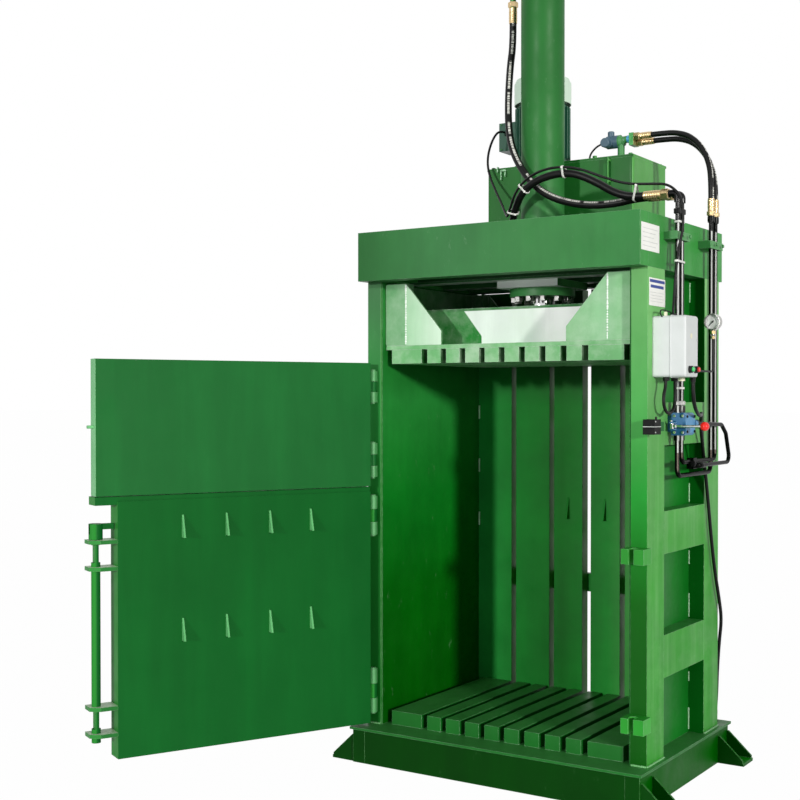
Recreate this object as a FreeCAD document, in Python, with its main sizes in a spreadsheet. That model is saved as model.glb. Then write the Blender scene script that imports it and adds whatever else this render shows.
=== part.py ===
import FreeCAD, Part

# Vertical recycling baler: a welded channel frame with a chamber, two side-hung doors, a hydraulic
# press plate under a long cylinder, and the oil tank, motor, pipes and controls that drive it.
# The origin is on the floor, in the middle of the four anchor bolts. +X is to the right of somebody
# who faces the chamber, +Y runs into the machine and +Z is up. Lengths are in millimetres.

import math
import os

from FreeCAD import Placement, Rotation, Vector
import Sketcher

doc = FreeCAD.newDocument("Baler")

# ---------------------------------------------------------------- driving dimensions

DIMENSIONS = {
    # base
    "base_half_x": 635, "base_half_y": 468, "base_height": 137, "base_flange": 58,
    "plate_lip": 10, "base_plate_thick": 10,
    "foot_reach": 110, "foot_width": 115, "foot_thick": 12, "foot_gusset_height": 112,
    "foot_gusset_thick": 8, "foot_toe": 4, "foot_toe_rise": 10, "foot_head": 9,
    "foot_centre_y": 402.5, "foot_bolt_reach": 65, "foot_bolt_radius": 9,
    # posts and side walls
    "frame_half_x": 623, "frame_half_y": 375, "post_depth": 163, "post_flange": 65,
    "steel_web": 8, "steel_flange": 10,
    "member_height": 162, "member_low_z": 449, "member_mid_z": 918, "member_high_z": 1329,
    "wall_inner_x": 552, "wall_thick": 6,
    # back wall of the chamber
    "back_inner_y": 430, "panel_depth": 56, "panel_thick": 8,
    "centre_slot": 41, "side_slot": 24, "near_slot_x": 172, "far_slot_x": 366,
    "rail_height": 80, "rail_flange": 40, "rail_low_z": 640, "rail_high_z": 1650,
    "barb_height": 95, "barb_reach": 26, "barb_thick": 8, "back_barb_x": 89, "back_barb_z": 968,
    # top ring and cylinder mount
    "ring_bottom": 1990, "ring_height": 200, "ring_flange": 75, "ring_front_y": 447.5,
    "ring_rear_y": 410.5, "cylinder_beam_y": 100,
    "mount_half": 138.5, "mount_thick": 30,
    # ribs of the floor and of the press plate
    "rib_height": 58, "rib_width": 64, "rib_pitch": 89.8, "wide_rib_width": 146,
    "wide_rib_x": 446.5, "rib_wall": 8, "rib_front_y": 350, "floor_rib_rear_y": 425, "platen_rear_y": 400,
    # press plate and its guides
    "rib_bottom_z": 1650, "platen_half_x": 547, "platen_thick": 17,
    "guide_top_z": 1980, "guide_width": 96, "guide_depth": 60, "guide_plate": 8,
    "gusset_inner_x": 280, "gusset_shoulder_z": 1782, "gusset_thick": 10,
    "beam_web_y": 207.5, "beam_height": 153, "strip_thick": 2.5, "strip_width": 30,
    # cylinder
    "tube_radius": 90, "bore_radius": 75, "tube_top_z": 3290, "cap_thick": 30, "cap_chamfer": 6,
    "gland_radius": 135, "gland_thick": 35, "gland_spigot": 50, "rod_radius": 50,
    "piston_thick": 65, "piston_bottom_z": 3125, "piston_groove": 12, "piston_groove_depth": 4,
    "rod_foot_radius": 100, "rod_foot_thick": 35,
    "bolt_circle": 115, "bolt_radius": 10, "bolt_head_radius": 17, "bolt_head_thick": 20,
    "running_gap": 0.06,
    # oil tank
    "tank_left_x": 340, "tank_right_x": 345, "tank_front_y": 134.5, "tank_rear_y": 492.5,
    "tank_height": 310, "tank_wall": 5, "tank_corner": 14, "lid_thick": 10,
    "level_x": 240, "level_low_z": 2400, "level_high_z": 2498, "level_standoff": 20,
    "sight_radius": 4.5, "sight_stub_radius": 6.5, "sight_overrun": 6,
    "breather_x": 163, "breather_y": 158, "breather_radius": 9, "breather_height": 12,
    "filter_x": 222, "filter_y": 262, "filter_z": 2592, "filter_radius": 27, "filter_back": 48,
    "filter_barrel": 62, "filter_neck": 78, "filter_step": 7, "filter_chamfer": 6, "knob_chamfer": 3,
    "front_knob_radius": 20, "front_knob_length": 33, "top_knob_radius": 14, "top_knob_length": 23,
    "filter_elbow_radius": 15, "filter_elbow_bend": 26, "filter_elbow_offset": 14,
    "filter_outlet": 58, "filter_outlet_rise": 6,
    # motor
    "motor_x": -160, "motor_y": 312.5, "motor_flange_radius": 125, "motor_flange_thick": 22,
    "motor_bottom_z": 2510, "motor_body_radius": 104, "motor_fin_radius": 122,
    "motor_inner_radius": 64, "motor_top_z": 2800, "cowl_top_z": 2920, "cowl_radius": 125,
    "cowl_wall": 3, "motor_shaft_radius": 14, "rotor_radius": 60, "fan_radius": 100,
    "terminal_width": 100, "terminal_height": 125, "terminal_depth": 92, "terminal_z": 2610,
    "terminal_seat": 22, "terminal_gland_inset": 40, "terminal_gland_z": 2688,
    "terminal_gland_radius": 11, "terminal_gland_length": 22,
    # doors
    "hinge_x": -583, "hinge_y": -397, "door_open": 116, "door_start": 22, "door_inner": 19,
    "upper_length": 1184.5, "upper_thick": 55, "upper_bottom_z": 1143, "upper_top_z": 1653,
    "lower_length": 1101, "lower_thick": 80, "lower_bottom_z": 160, "lower_top_z": 1109,
    "door_skin": 6, "door_frame": 8, "bar_length": 1185, "bar_top_z": 1140, "skin_top_z": 1122,
    "stud_z": 1400, "stud_radius": 6, "stud_reach": 23,
    "upper_barrel": 14, "upper_pin": 8, "lower_barrel": 17, "lower_pin": 10, "knuckle_gap": 1,
    # lock shaft and its catches
    "lock_x": 1172, "lock_radius": 17, "lock_flat_half": 7, "lock_bottom_z": 224,
    "lock_top_z": 1040, "lock_head_radius": 26, "lock_head_z": 982,
    "bracket_reach": 101, "bracket_thick": 15, "lug_low_z": 280, "lug_high_z": 900,
    "lug_height": 57, "lug_left_x": 549, "lug_right_x": 639, "lug_front_y": 445,
    "lug_mouth": 20, "lug_seat_radius": 18,
    # pipes, valve and controls on the right side
    "pipe_radius": 9, "pipe_x": 660, "front_pipe_y": -178, "front_pipe_2_y": -136,
    "rear_pipe_y": 180, "rear_pipe_2_y": 228, "low_run_z": 1213, "low_run_2_z": 1262,
    "pipe_elbow_z": 2280, "pipe_bend": 30,
    "elbow_radius": 14, "elbow_reach": 34, "elbow_bend": 18, "pipe_nut_length": 26,
    "rear_pipe_top_z": 2235, "clamp_z": 2103, "clamp_plate": 5, "clamp_height": 30,
    "clamp_overhang": 46, "hose_radius": 15, "ferrule_radius": 16.5, "port_radius": 13,
    "return_hose_radius": 11.5, "return_ferrule_radius": 13,
    "manifold_length": 20, "manifold_width": 60, "manifold_height": 52,
    "valve_x": 640, "valve_width": 60, "valve_y": -190.5, "valve_length": 93,
    "valve_z": 1367, "valve_height": 85,
    "valve_port_x": 690, "valve_port_z": 1410, "valve_port_radius": 16, "valve_port_length": 22,
    "loop_radius": 8, "loop_bend": 26, "loop_top_y": 222, "loop_side_y": 274, "loop_rear_y": 322,
    "loop_side_z": 1366, "loop_low_z": 1248, "loop_end_y": 30, "loop_elbow_radius": 11,
    "loop_elbow_bend": 14, "tee_y": -24, "tee_width": 36, "tee_depth": 28, "tee_low_z": 1234,
    "tee_top_z": 1276,
    "lever_pivot_x": 652, "lever_y": -207, "lever_z": 1402, "lever_radius": 5,
    "lever_boss_radius": 8, "lever_boss_half": 10, "lever_pin_radius": 3,
    "fork_width": 18, "fork_reach": 9, "fork_plate": 3.5, "fork_gap": 0.5,
    "ball_x": 779, "ball_radius": 17,
    "box_front_y": -332.5, "box_width": 125, "box_bottom_z": 1584, "box_height": 226,
    "box_seam_x": 693, "box_face_x": 753, "box_wall": 5, "box_corner": 12, "box_face_round": 8,
    "button_y": -297.5, "button_pitch": 55, "button_z": 1612, "cap_radius": 9,
    "bezel_radius": 13, "bezel_length": 13, "cap_reach": 20,
    "switch_x": 635, "switch_width": 45, "switch_y": -447.5, "switch_depth": 60,
    "switch_z": 1375, "switch_height": 55, "plunger_radius": 4, "plunger_tip_x": 628,
    "gauge_x": 690, "gauge_y": 108, "gauge_z": 1808, "gauge_radius": 33, "gauge_depth": 28,
    "gauge_tube_z": 1612,
    # supply cable
    "cable_radius": 7, "coil_x": 430, "coil_y": 660, "coil_radius": 82, "coil_pitch": 15,
    "gland_x": 741, "gland_y": -229, "gland_length": 20, "gland_top_radius": 11,
    "motor_lead_radius": 5, "control_lead_radius": 6, "filter_lead_radius": 4,
    "plug_radius": 28, "plug_length": 120,
}


class Size:
    """A length worked out from the sheet: the text of its formula and its value."""

    def __init__(self, text, value):
        self.text = text
        self.value = value

    def __add__(self, other):
        other = as_size(other)
        return Size(f"({self.text} + {other.text})", self.value + other.value)

    def __sub__(self, other):
        other = as_size(other)
        return Size(f"({self.text} - {other.text})", self.value - other.value)

    def __mul__(self, other):
        other = as_size(other)
        return Size(f"({self.text} * {other.text})", self.value * other.value)

    def __truediv__(self, other):
        other = as_size(other)
        return Size(f"({self.text} / {other.text})", self.value / other.value)

    def __neg__(self):
        return Size(f"(0 - {self.text})", -self.value)

    def __radd__(self, other):
        return as_size(other) + self

    def __rsub__(self, other):
        return as_size(other) - self

    def __rmul__(self, other):
        return as_size(other) * self


def as_size(number):
    """The size itself, or a plain number as a size."""
    if isinstance(number, Size):
        return number
    return Size(f"({float(number)!r})", float(number))


def fill_sheet():
    """Writes the driving dimensions into the sheet, one a row, and returns them as sizes."""
    sheet = doc.addObject("Spreadsheet::Sheet", "Dims")
    sizes = {}
    for row, (alias, number) in enumerate(DIMENSIONS.items(), start=1):
        sheet.set(f"A{row}", alias)
        sheet.set(f"B{row}", str(number))
        sheet.setAlias(f"B{row}", alias)
        sizes[alias] = Size(f"Dims.{alias}", float(number))
    doc.recompute()
    return sizes


D = fill_sheet()
floor_z = D["base_height"] + D["base_plate_thick"]
ring_top = D["ring_bottom"] + D["ring_height"]

# ---------------------------------------------------------------- tools for features

parts = {}
UP = Rotation()
ALONG_X = Rotation(Vector(0, 1, 0), Vector(0, 0, 1), Vector(1, 0, 0), "ZXY")
ALONG_X_BACK = Rotation(Vector(0, -1, 0), Vector(0, 0, 1), Vector(-1, 0, 0), "ZXY")
ALONG_Y = Rotation(Vector(-1, 0, 0), Vector(0, 0, 1), Vector(0, 1, 0), "ZXY")
ALONG_Y_BACK = Rotation(Vector(1, 0, 0), Vector(0, 0, 1), Vector(0, -1, 0), "ZXY")
HALF_TURN = Rotation(Vector(0, 0, 1), 180)
FACING_RIGHT = Rotation(Vector(0, 1, 0), 90)
FACING_FRONT = Rotation(Vector(1, 0, 0), 90)
ORIGIN = (0, 0, 0)


def numbers(sizes):
    """The values of several sizes."""
    return [as_size(size).value for size in sizes]


def place(thing, at, turn=UP):
    """Puts an object at a point whose coordinates follow the sheet."""
    thing.Placement = Placement(Vector(*numbers(at)), turn)
    for axis, size in zip("xyz", at):
        thing.setExpression(f"Placement.Base.{axis}", as_size(size).text)
    return thing


def bind(thing, **sizes):
    """Ties properties of an object to the sheet."""
    for name, size in sizes.items():
        setattr(thing, name, as_size(size).value)
        thing.setExpression(name, as_size(size).text)
    return thing


def box(name, size, at):
    """A block given by its size and its lowest corner."""
    block = bind(doc.addObject("Part::Box", name), Length=size[0], Width=size[1], Height=size[2])
    return place(block, at)


def cylinder(name, radius, height, at, turn=UP):
    """A round bar that starts at a point and runs along the turned Z axis."""
    return place(bind(doc.addObject("Part::Cylinder", name), Radius=radius, Height=height), at, turn)


def joined(name, *pieces):
    """One solid fused from several."""
    thing = doc.addObject("Part::MultiFuse", name)
    thing.Shapes = list(pieces)
    return thing


def less(name, base, tool):
    """One solid with another cut out of it."""
    thing = doc.addObject("Part::Cut", name)
    thing.Base = base
    thing.Tool = tool
    return thing


def grouped(name, pieces):
    """Several separate solids that share a node."""
    thing = doc.addObject("Part::Compound", name)
    thing.Links = list(pieces)
    return thing


def solid_feature(name, shape, at=ORIGIN, turn=UP):
    """A shape worked out in code, as a feature of the document."""
    thing = doc.addObject("Part::Feature", name)
    thing.Shape = shape
    thing.Placement = Placement(Vector(*numbers(at)), turn)
    return thing


def node(label, thing):
    """Names the object that is one sub-part."""
    thing.Label = label
    parts[label] = thing
    return thing


def new_body(name, at=ORIGIN, turn=UP):
    """An empty body at its place."""
    return place(doc.addObject("PartDesign::Body", name), at, turn)


def new_sketch(body, plane="XY_Plane", lift=0):
    """A sketch on one of the body's own planes, lifted off it by a size."""
    sketch = body.newObject("Sketcher::SketchObject", f"{body.Name}_sketch")
    datum = next(each for each in body.Origin.OriginFeatures if each.Role == plane)
    sketch.AttachmentSupport = [(datum, "")]
    sketch.MapMode = "FlatFace"
    sketch.AttachmentOffset = Placement(Vector(0, 0, as_size(lift).value), UP)
    sketch.setExpression("AttachmentOffset.Base.z", as_size(lift).text)
    return sketch


def pin_point(sketch, item, which, x, y):
    """Holds a point of a sketch at its distances from the sketch's origin."""
    for kind, size, axis in (("DistanceX", as_size(x), -2), ("DistanceY", as_size(y), -1)):
        if abs(size.value) < 1e-9:
            sketch.addConstraint(Sketcher.Constraint("PointOnObject", item, which, axis))
            continue
        index = sketch.addConstraint(Sketcher.Constraint(kind, -1, 1, item, which, size.value))
        sketch.setExpression(f"Constraints[{index}]", size.text)


def outline(sketch, corners):
    """A closed outline of straight edges through corners that follow the sheet."""
    points = [Vector(*numbers(corner), 0) for corner in corners]
    first = sketch.GeometryCount
    for start, end in zip(points, points[1:] + points[:1]):
        sketch.addGeometry(Part.LineSegment(start, end), False)
    for step in range(len(points)):
        after = first + (step + 1) % len(points)
        sketch.addConstraint(Sketcher.Constraint("Coincident", first + step, 2, after, 1))
    for step, corner in enumerate(corners):
        pin_point(sketch, first + step, 1, *corner)
    return sketch


def rectangle(sketch, low, high):
    """A rectangle from its lowest to its highest corner."""
    return outline(sketch, [low, (high[0], low[1]), high, (low[0], high[1])])


def circle(sketch, centre, radius):
    """A circle whose centre and radius follow the sheet."""
    middle = Vector(*numbers(centre), 0)
    item = sketch.addGeometry(Part.Circle(middle, Vector(0, 0, 1), as_size(radius).value), False)
    pin_point(sketch, item, 3, *centre)
    index = sketch.addConstraint(Sketcher.Constraint("Radius", item, as_size(radius).value))
    sketch.setExpression(f"Constraints[{index}]", as_size(radius).text)
    return sketch


def pad(body, sketch, length, back=False):
    """Extrudes a sketch along its normal, or against it."""
    feature = body.newObject("PartDesign::Pad", f"{body.Name}_pad")
    feature.Profile = sketch
    bind(feature, Length=length)
    feature.Reversed = back
    sketch.Visibility = False
    return feature


def pocket(body, sketch, depth, back=False):
    """Cuts a sketch out of the body, against its normal or along it."""
    feature = body.newObject("PartDesign::Pocket", f"{body.Name}_pocket")
    feature.Profile = sketch
    bind(feature, Length=depth)
    feature.Reversed = back
    sketch.Visibility = False
    return feature


def revolved(body, sketch, axis="V_Axis"):
    """Turns a sketch once round one of its own axes."""
    feature = body.newObject("PartDesign::Revolution", f"{body.Name}_turn")
    feature.Profile = sketch
    feature.ReferenceAxis = (sketch, [axis])
    feature.Angle = 360
    sketch.Visibility = False
    return feature


def around(body, feature, count):
    """Repeats a feature evenly round the body's Z axis."""
    pattern = body.newObject("PartDesign::PolarPattern", f"{body.Name}_pattern")
    pattern.Originals = [feature]
    z_axis = next(each for each in body.Origin.OriginFeatures if each.Role == "Z_Axis")
    pattern.Axis = (z_axis, [""])
    pattern.Angle = 360
    pattern.Occurrences = count
    body.Tip = pattern
    return pattern


def turned(name, corners, at=ORIGIN, turn=UP):
    """A turned piece: its half section, as radius and height, revolved about its own Z axis."""
    body = new_body(name, at, turn)
    revolved(body, outline(new_sketch(body, "XZ_Plane"), corners))
    return body


def ring(name, inner, outer, height, at, turn=UP):
    """A plain ring or sleeve."""
    body = new_body(name, at, turn)
    sketch = circle(circle(new_sketch(body), (0, 0), outer), (0, 0), inner)
    pad(body, sketch, height)
    return body


def channel(name, height, flange, length, at, turn, closed=False):
    """A rolled channel: web along Y at X = 0, flanges towards +X, run along Z; ends may be closed."""
    web = D["steel_web"]
    thick = D["steel_flange"]
    body = new_body(name, at, turn)
    section = [(0, 0), (flange, 0), (flange, thick), (web, thick), (web, height - thick),
               (flange, height - thick), (flange, height), (0, height)]
    pad(body, outline(new_sketch(body), section), length)
    if closed:
        for lift in (as_size(0), length - web):
            lid = rectangle(new_sketch(body, lift=lift), (0, 0), (flange, height))
            pad(body, lid, web)
    return body


def plate_with_outline(name, corners, thickness, at=ORIGIN, turn=UP, plane="XY_Plane"):
    """A flat plate cut to an outline."""
    body = new_body(name, at, turn)
    pad(body, outline(new_sketch(body, plane), corners), thickness)
    return body


# ---------------------------------------------------------------- tools for pipes, hoses and cables

def bent_line(points, bend=None):
    """Straight runs joined by tangent arcs, with the radii of the arcs.

    A given bend is a pipe's radius. Without one, each arc is as large as its two runs allow.
    """
    nodes = [Vector(*point) for point in points]
    edges = []
    radii = []
    start = nodes[0]
    for before, corner, after in zip(nodes, nodes[1:], nodes[2:]):
        way_in = (corner - before).normalize()
        way_out = (after - corner).normalize()
        half_turn = way_in.getAngle(way_out) / 2
        shorter = min((corner - before).Length, (after - corner).Length)
        radius = bend or 0.45 * shorter / math.tan(half_turn)
        setback = radius * math.tan(half_turn)
        arc_start = corner - way_in * setback
        arc_end = corner + way_out * setback
        to_centre = (way_out - way_in).normalize()
        middle = corner + to_centre * (radius / math.cos(half_turn) - radius)
        edges.append(Part.LineSegment(start, arc_start).toShape())
        edges.append(Part.Arc(arc_start, middle, arc_end).toShape())
        radii.append(radius)
        start = arc_end
    edges.append(Part.LineSegment(start, nodes[-1]).toShape())
    return Part.Wire(edges), radii


def sweep_round(path, start, direction, radius):
    """A solid round tube along a path."""
    section = Part.Wire([Part.Circle(start, direction, radius).toShape()])
    return path.makePipeShell([section], True, False)


def tube_along(name, points, radius, bend=None):
    """A round solid along bent runs; prints its tightest radius and checks its volume."""
    path, radii = bent_line(points, bend)
    first = Vector(*points[0])
    shape = sweep_round(path, first, Vector(*points[1]) - first, radius)
    wanted = math.pi * radius ** 2 * path.Length
    if abs(shape.Volume / wanted - 1) > 0.01:
        raise ValueError(f"{name}: volume {shape.Volume:.0f}, expected {wanted:.0f}")
    tightest = min(radii) if radii else 0
    print(f"{name}: length {path.Length:.0f}, tightest radius {tightest:.0f}, "
          f"radii {[round(each) for each in radii]}")
    return solid_feature(name, shape)


# ---------------------------------------------------------------- base and feet

def make_base():
    """The welded base ring, the chamber floor with its strap channels, and the four anchor feet."""
    half_x, half_y = D["base_half_x"], D["base_half_y"]
    height, flange = D["base_height"], D["base_flange"]
    sides = [
        channel("base_left", height, flange, half_y * 2, (-half_x, half_y, 0), ALONG_Y_BACK, True),
        channel("base_right", height, flange, half_y * 2, (half_x, -half_y, 0), ALONG_Y, True),
    ]
    inner_x = half_x - flange
    ends = [
        channel("base_front", height, flange, inner_x * 2, (-inner_x, -half_y, 0), ALONG_X),
        channel("base_rear", height, flange, inner_x * 2, (inner_x, half_y, 0), ALONG_X_BACK),
    ]
    node("base_channels", grouped("base_group", sides + ends))

    lip = D["plate_lip"]
    size = ((half_x + lip) * 2, (half_y + lip) * 2, D["base_plate_thick"])
    floor_plate = box("floor_plate", size, (-half_x - lip, -half_y - lip, height))
    straps = ribs("floor_rib", floor_z, D["floor_rib_rear_y"], False)
    node("chamber_floor", grouped("floor_group", [floor_plate] + straps))
    node("anchor_feet", grouped("feet_group", [anchor_foot(side, end)
                                               for side in (-1, 1) for end in (-1, 1)]))


def ribs(name, bottom, rear_y, open_up):
    """Ten ribs that leave the strap slots open between them: eight narrow and two wide.

    Each is a folded box whose open side lies against its plate.
    """
    front, height, wall = D["rib_front_y"], D["rib_height"], D["rib_wall"]
    places = [(D["rib_pitch"] * (step - 3.5), D["rib_width"]) for step in range(8)]
    places += [(-D["wide_rib_x"], D["wide_rib_width"]), (D["wide_rib_x"], D["wide_rib_width"])]
    made = []
    for count, (centre, width) in enumerate(places, start=1):
        run = front + rear_y
        outside = box(f"{name}_{count}", (width, run, height), (centre - width / 2, -front, bottom))
        inside = box(f"{name}_room_{count}", (width - wall * 2, run - wall * 2, height),
                     (centre - width / 2 + wall, wall - front,
                      bottom + wall if open_up else bottom - wall))
        made.append(less(f"{name}_shell_{count}", outside, inside))
    return made


def anchor_foot(side, end):
    """A bolted foot: a thick sole with two sloping gussets, welded to the base's web."""
    at = (side * D["base_half_x"], end * D["foot_centre_y"], 0)
    body = new_body(f"foot_{side + 1}{end + 1}", at, UP if side > 0 else HALF_TURN)
    half = D["foot_width"] / 2
    reach, sole, thick = D["foot_reach"], D["foot_thick"], D["foot_gusset_thick"]
    sketch = rectangle(new_sketch(body), (0, -half), (reach, half))
    pad(body, circle(sketch, (D["foot_bolt_reach"], 0), D["foot_bolt_radius"]), sole)
    top = D["foot_gusset_height"]
    toe, rise = reach - D["foot_toe"], sole + D["foot_toe_rise"]
    shape = [(0, sole), (toe, sole), (toe, rise), (D["foot_head"], top), (0, top)]
    for lift in (half - thick, -half):
        pad(body, outline(new_sketch(body, "XZ_Plane", lift), shape), thick)
    return body


# ---------------------------------------------------------------- posts, walls and top ring

def make_walls():
    """Four channel posts, the side plates behind them and the horizontal channels between them."""
    x, y, depth, flange = D["frame_half_x"], D["frame_half_y"], D["post_depth"], D["post_flange"]
    height = D["ring_bottom"] - floor_z
    for label, low_y in (("front_posts", -y), ("rear_posts", y - depth)):
        left = channel(f"{label}_left", depth, flange, height, (-x, low_y, floor_z), UP)
        right = channel(f"{label}_right", depth, flange, height, (x, low_y + depth, floor_z), HALF_TURN)
        node(label, grouped(f"{label}_group", [left, right]))

    inner, thick = D["wall_inner_x"], D["wall_thick"]
    front = y - 3
    rear = D["back_inner_y"] + D["panel_depth"]
    size = (thick, front + rear, height)
    plates = [box("wall_left", size, (-inner - thick, -front, floor_z)),
              box("wall_right", size, (inner, -front, floor_z))]
    node("side_walls", grouped("wall_group", plates))

    run = y * 2 - depth * 2
    members = []
    for low in ("member_low_z", "member_mid_z", "member_high_z"):
        members.append(channel(f"{low}_left", D["member_height"], flange, run,
                               (-x, run / 2, D[low]), ALONG_Y_BACK))
        members.append(channel(f"{low}_right", D["member_height"], flange, run,
                               (x, -run / 2, D[low]), ALONG_Y))
    node("cross_members", grouped("member_group", members))


def barb(name, at, turn):
    """A wedge that holds the pressed bale down: flush at the top, square underneath."""
    reach, height, thick = D["barb_reach"], D["barb_height"], D["barb_thick"]
    body = new_body(name, at, turn)
    sketch = outline(new_sketch(body, "YZ_Plane", -thick / 2), [(0, 0), (-reach, 0), (0, height)])
    pad(body, sketch, thick)
    return body


def make_back_wall():
    """Six folded panels with strap slots between them, and two rails across their backs."""
    inner_y, depth, thick = D["back_inner_y"], D["panel_depth"], D["panel_thick"]
    height = D["ring_bottom"] - floor_z
    edges = [
        (D["centre_slot"] / 2, D["near_slot_x"] - D["side_slot"] / 2),
        (D["near_slot_x"] + D["side_slot"] / 2, D["far_slot_x"] - D["side_slot"] / 2),
        (D["far_slot_x"] + D["side_slot"] / 2, D["wall_inner_x"]),
    ]
    panels = []
    for count, (near, far) in enumerate(edges, start=1):
        width = far - near
        for side, low_x in (("right", near), ("left", -far)):
            body = new_body(f"panel_{side}_{count}", (low_x, inner_y, floor_z))
            section = [(0, 0), (width, 0), (width, depth), (width - thick, depth),
                       (width - thick, thick), (thick, thick), (thick, depth), (0, depth)]
            pad(body, outline(new_sketch(body), section), height)
            panels.append(body)
    barbs = [barb(f"back_barb_{count}", (x, inner_y, D["back_barb_z"]), UP)
             for count, x in enumerate((-D["back_barb_x"], D["back_barb_x"]), start=1)]
    half = D["wall_inner_x"] + D["wall_thick"]
    rails = [channel(f"{low}_rail", D["rail_height"], D["rail_flange"], half * 2,
                     (-half, inner_y + depth, D[low]), ALONG_X)
             for low in ("rail_low_z", "rail_high_z")]
    node("back_wall", grouped("back_group", panels + barbs + rails))


def make_top():
    """The ring of deep channels on the posts, and the two channels that carry the cylinder."""
    x, flange, height, low = D["frame_half_x"], D["ring_flange"], D["ring_height"], D["ring_bottom"]
    front, rear = D["ring_front_y"], D["ring_rear_y"]
    run = front + rear - flange * 2
    node("top_ring", grouped("ring_group", [
        channel("ring_front", height, flange, x * 2, (-x, -front, low), ALONG_X, True),
        channel("ring_rear", height, flange, x * 2, (x, rear, low), ALONG_X_BACK, True),
        channel("ring_left", height, flange, run, (-x, rear - flange, low), ALONG_Y_BACK),
        channel("ring_right", height, flange, run, (x, flange - front, low), ALONG_Y),
    ]))

    inner_x, gap = x - flange, D["cylinder_beam_y"]
    half, thick = D["mount_half"], D["mount_thick"]
    mount = new_body("mount_plate", (0, 0, low - thick))
    sketch = rectangle(new_sketch(mount), (-half, -half), (half, half))
    pad(mount, circle(sketch, (0, 0), D["tube_radius"] + 0.5), thick)
    screw = circle(new_sketch(mount), (D["bolt_circle"], 0), D["bolt_radius"])
    around(mount, pocket(mount, screw, thick / 2, True), 12)
    node("cylinder_mount", grouped("mount_group", [
        channel("mount_front", height, flange, inner_x * 2, (inner_x, -gap, low), ALONG_X_BACK),
        channel("mount_rear", height, flange, inner_x * 2, (-inner_x, gap, low), ALONG_X),
        mount,
    ]))


# ---------------------------------------------------------------- press plate and cylinder

def make_press():
    """The ribbed press plate with its guides and beams, which the piston rod carries."""
    half, bottom = D["platen_half_x"], D["rib_bottom_z"]
    front, rear = D["rib_front_y"], D["platen_rear_y"]
    plate_z = bottom + D["rib_height"]
    size = (half * 2, front + rear, D["platen_thick"])
    node("press_plate", box("press_plate_box", size, (-half, -front, plate_z)))
    node("press_ribs", grouped("press_rib_group", ribs("press_rib", bottom, rear, True)))

    top = plate_z + D["platen_thick"]
    rise = D["guide_top_z"] - top
    width, depth, wall = D["guide_width"], D["guide_depth"], D["guide_plate"]
    pieces = []
    for end, edge, turn in (("front", -front, 1), ("rear", front, -1)):
        for side in (-1, 1):
            low_x = half - width if side > 0 else -half
            section = [(0, 0), (width, 0), (width, turn * depth), (width - wall, turn * depth),
                       (width - wall, turn * wall), (wall, turn * wall), (wall, turn * depth),
                       (0, turn * depth)]
            pieces.append(plate_with_outline(f"guide_{end}_{side + 1}", section, rise,
                                             (low_x, edge, top)))
            outer, inner = half - width, D["gusset_inner_x"]
            shape = [(side * outer, 0), (side * inner, 0),
                     (side * inner, D["gusset_shoulder_z"] - top), (side * outer, rise)]
            at_y = edge + D["gusset_thick"] if turn > 0 else edge
            pieces.append(plate_with_outline(f"gusset_{end}_{side + 1}", shape, D["gusset_thick"],
                                             (0, at_y, top), plane="XZ_Plane"))
        web_y = turn * D["beam_web_y"] * -1
        at_x = -(half - wall) if turn > 0 else half - wall
        pieces.append(channel(f"press_beam_{end}", D["beam_height"], depth, (half - wall) * 2,
                              (at_x, web_y, top), ALONG_X if turn > 0 else ALONG_X_BACK))
    between = (front - depth) * 2
    strip = D["strip_thick"]
    for side in (-1, 1):
        low_x = half - wall if side > 0 else -half
        pieces.append(box(f"guide_wall_{side + 1}", (wall, between, rise), (low_x, -between / 2, top)))
        strip_x = half if side > 0 else -half - strip
        pieces.append(box(f"wear_strip_{side + 1}", (strip, D["strip_width"], rise - 10),
                          (strip_x, -front, top + 5)))
    node("press_frame", grouped("press_frame_group", pieces))

    foot, rod = D["rod_foot_radius"], D["rod_radius"]
    foot_top, length = D["rod_foot_thick"], D["piston_bottom_z"] - top
    node("piston_rod", turned("rod_body", [(0, 0), (foot, 0), (foot, foot_top), (rod, foot_top),
                                           (rod, length), (0, length)], (0, 0, top)))
    piston, thick = D["bore_radius"] - D["running_gap"], D["piston_thick"]
    seat = piston - D["piston_groove_depth"]
    groove_low, groove_top = (thick - D["piston_groove"]) / 2, (thick + D["piston_groove"]) / 2
    node("piston", turned("piston_body", [
        (0, 0), (piston, 0), (piston, groove_low), (seat, groove_low), (seat, groove_top),
        (piston, groove_top), (piston, thick), (0, thick)], (0, 0, D["piston_bottom_z"])))


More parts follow.
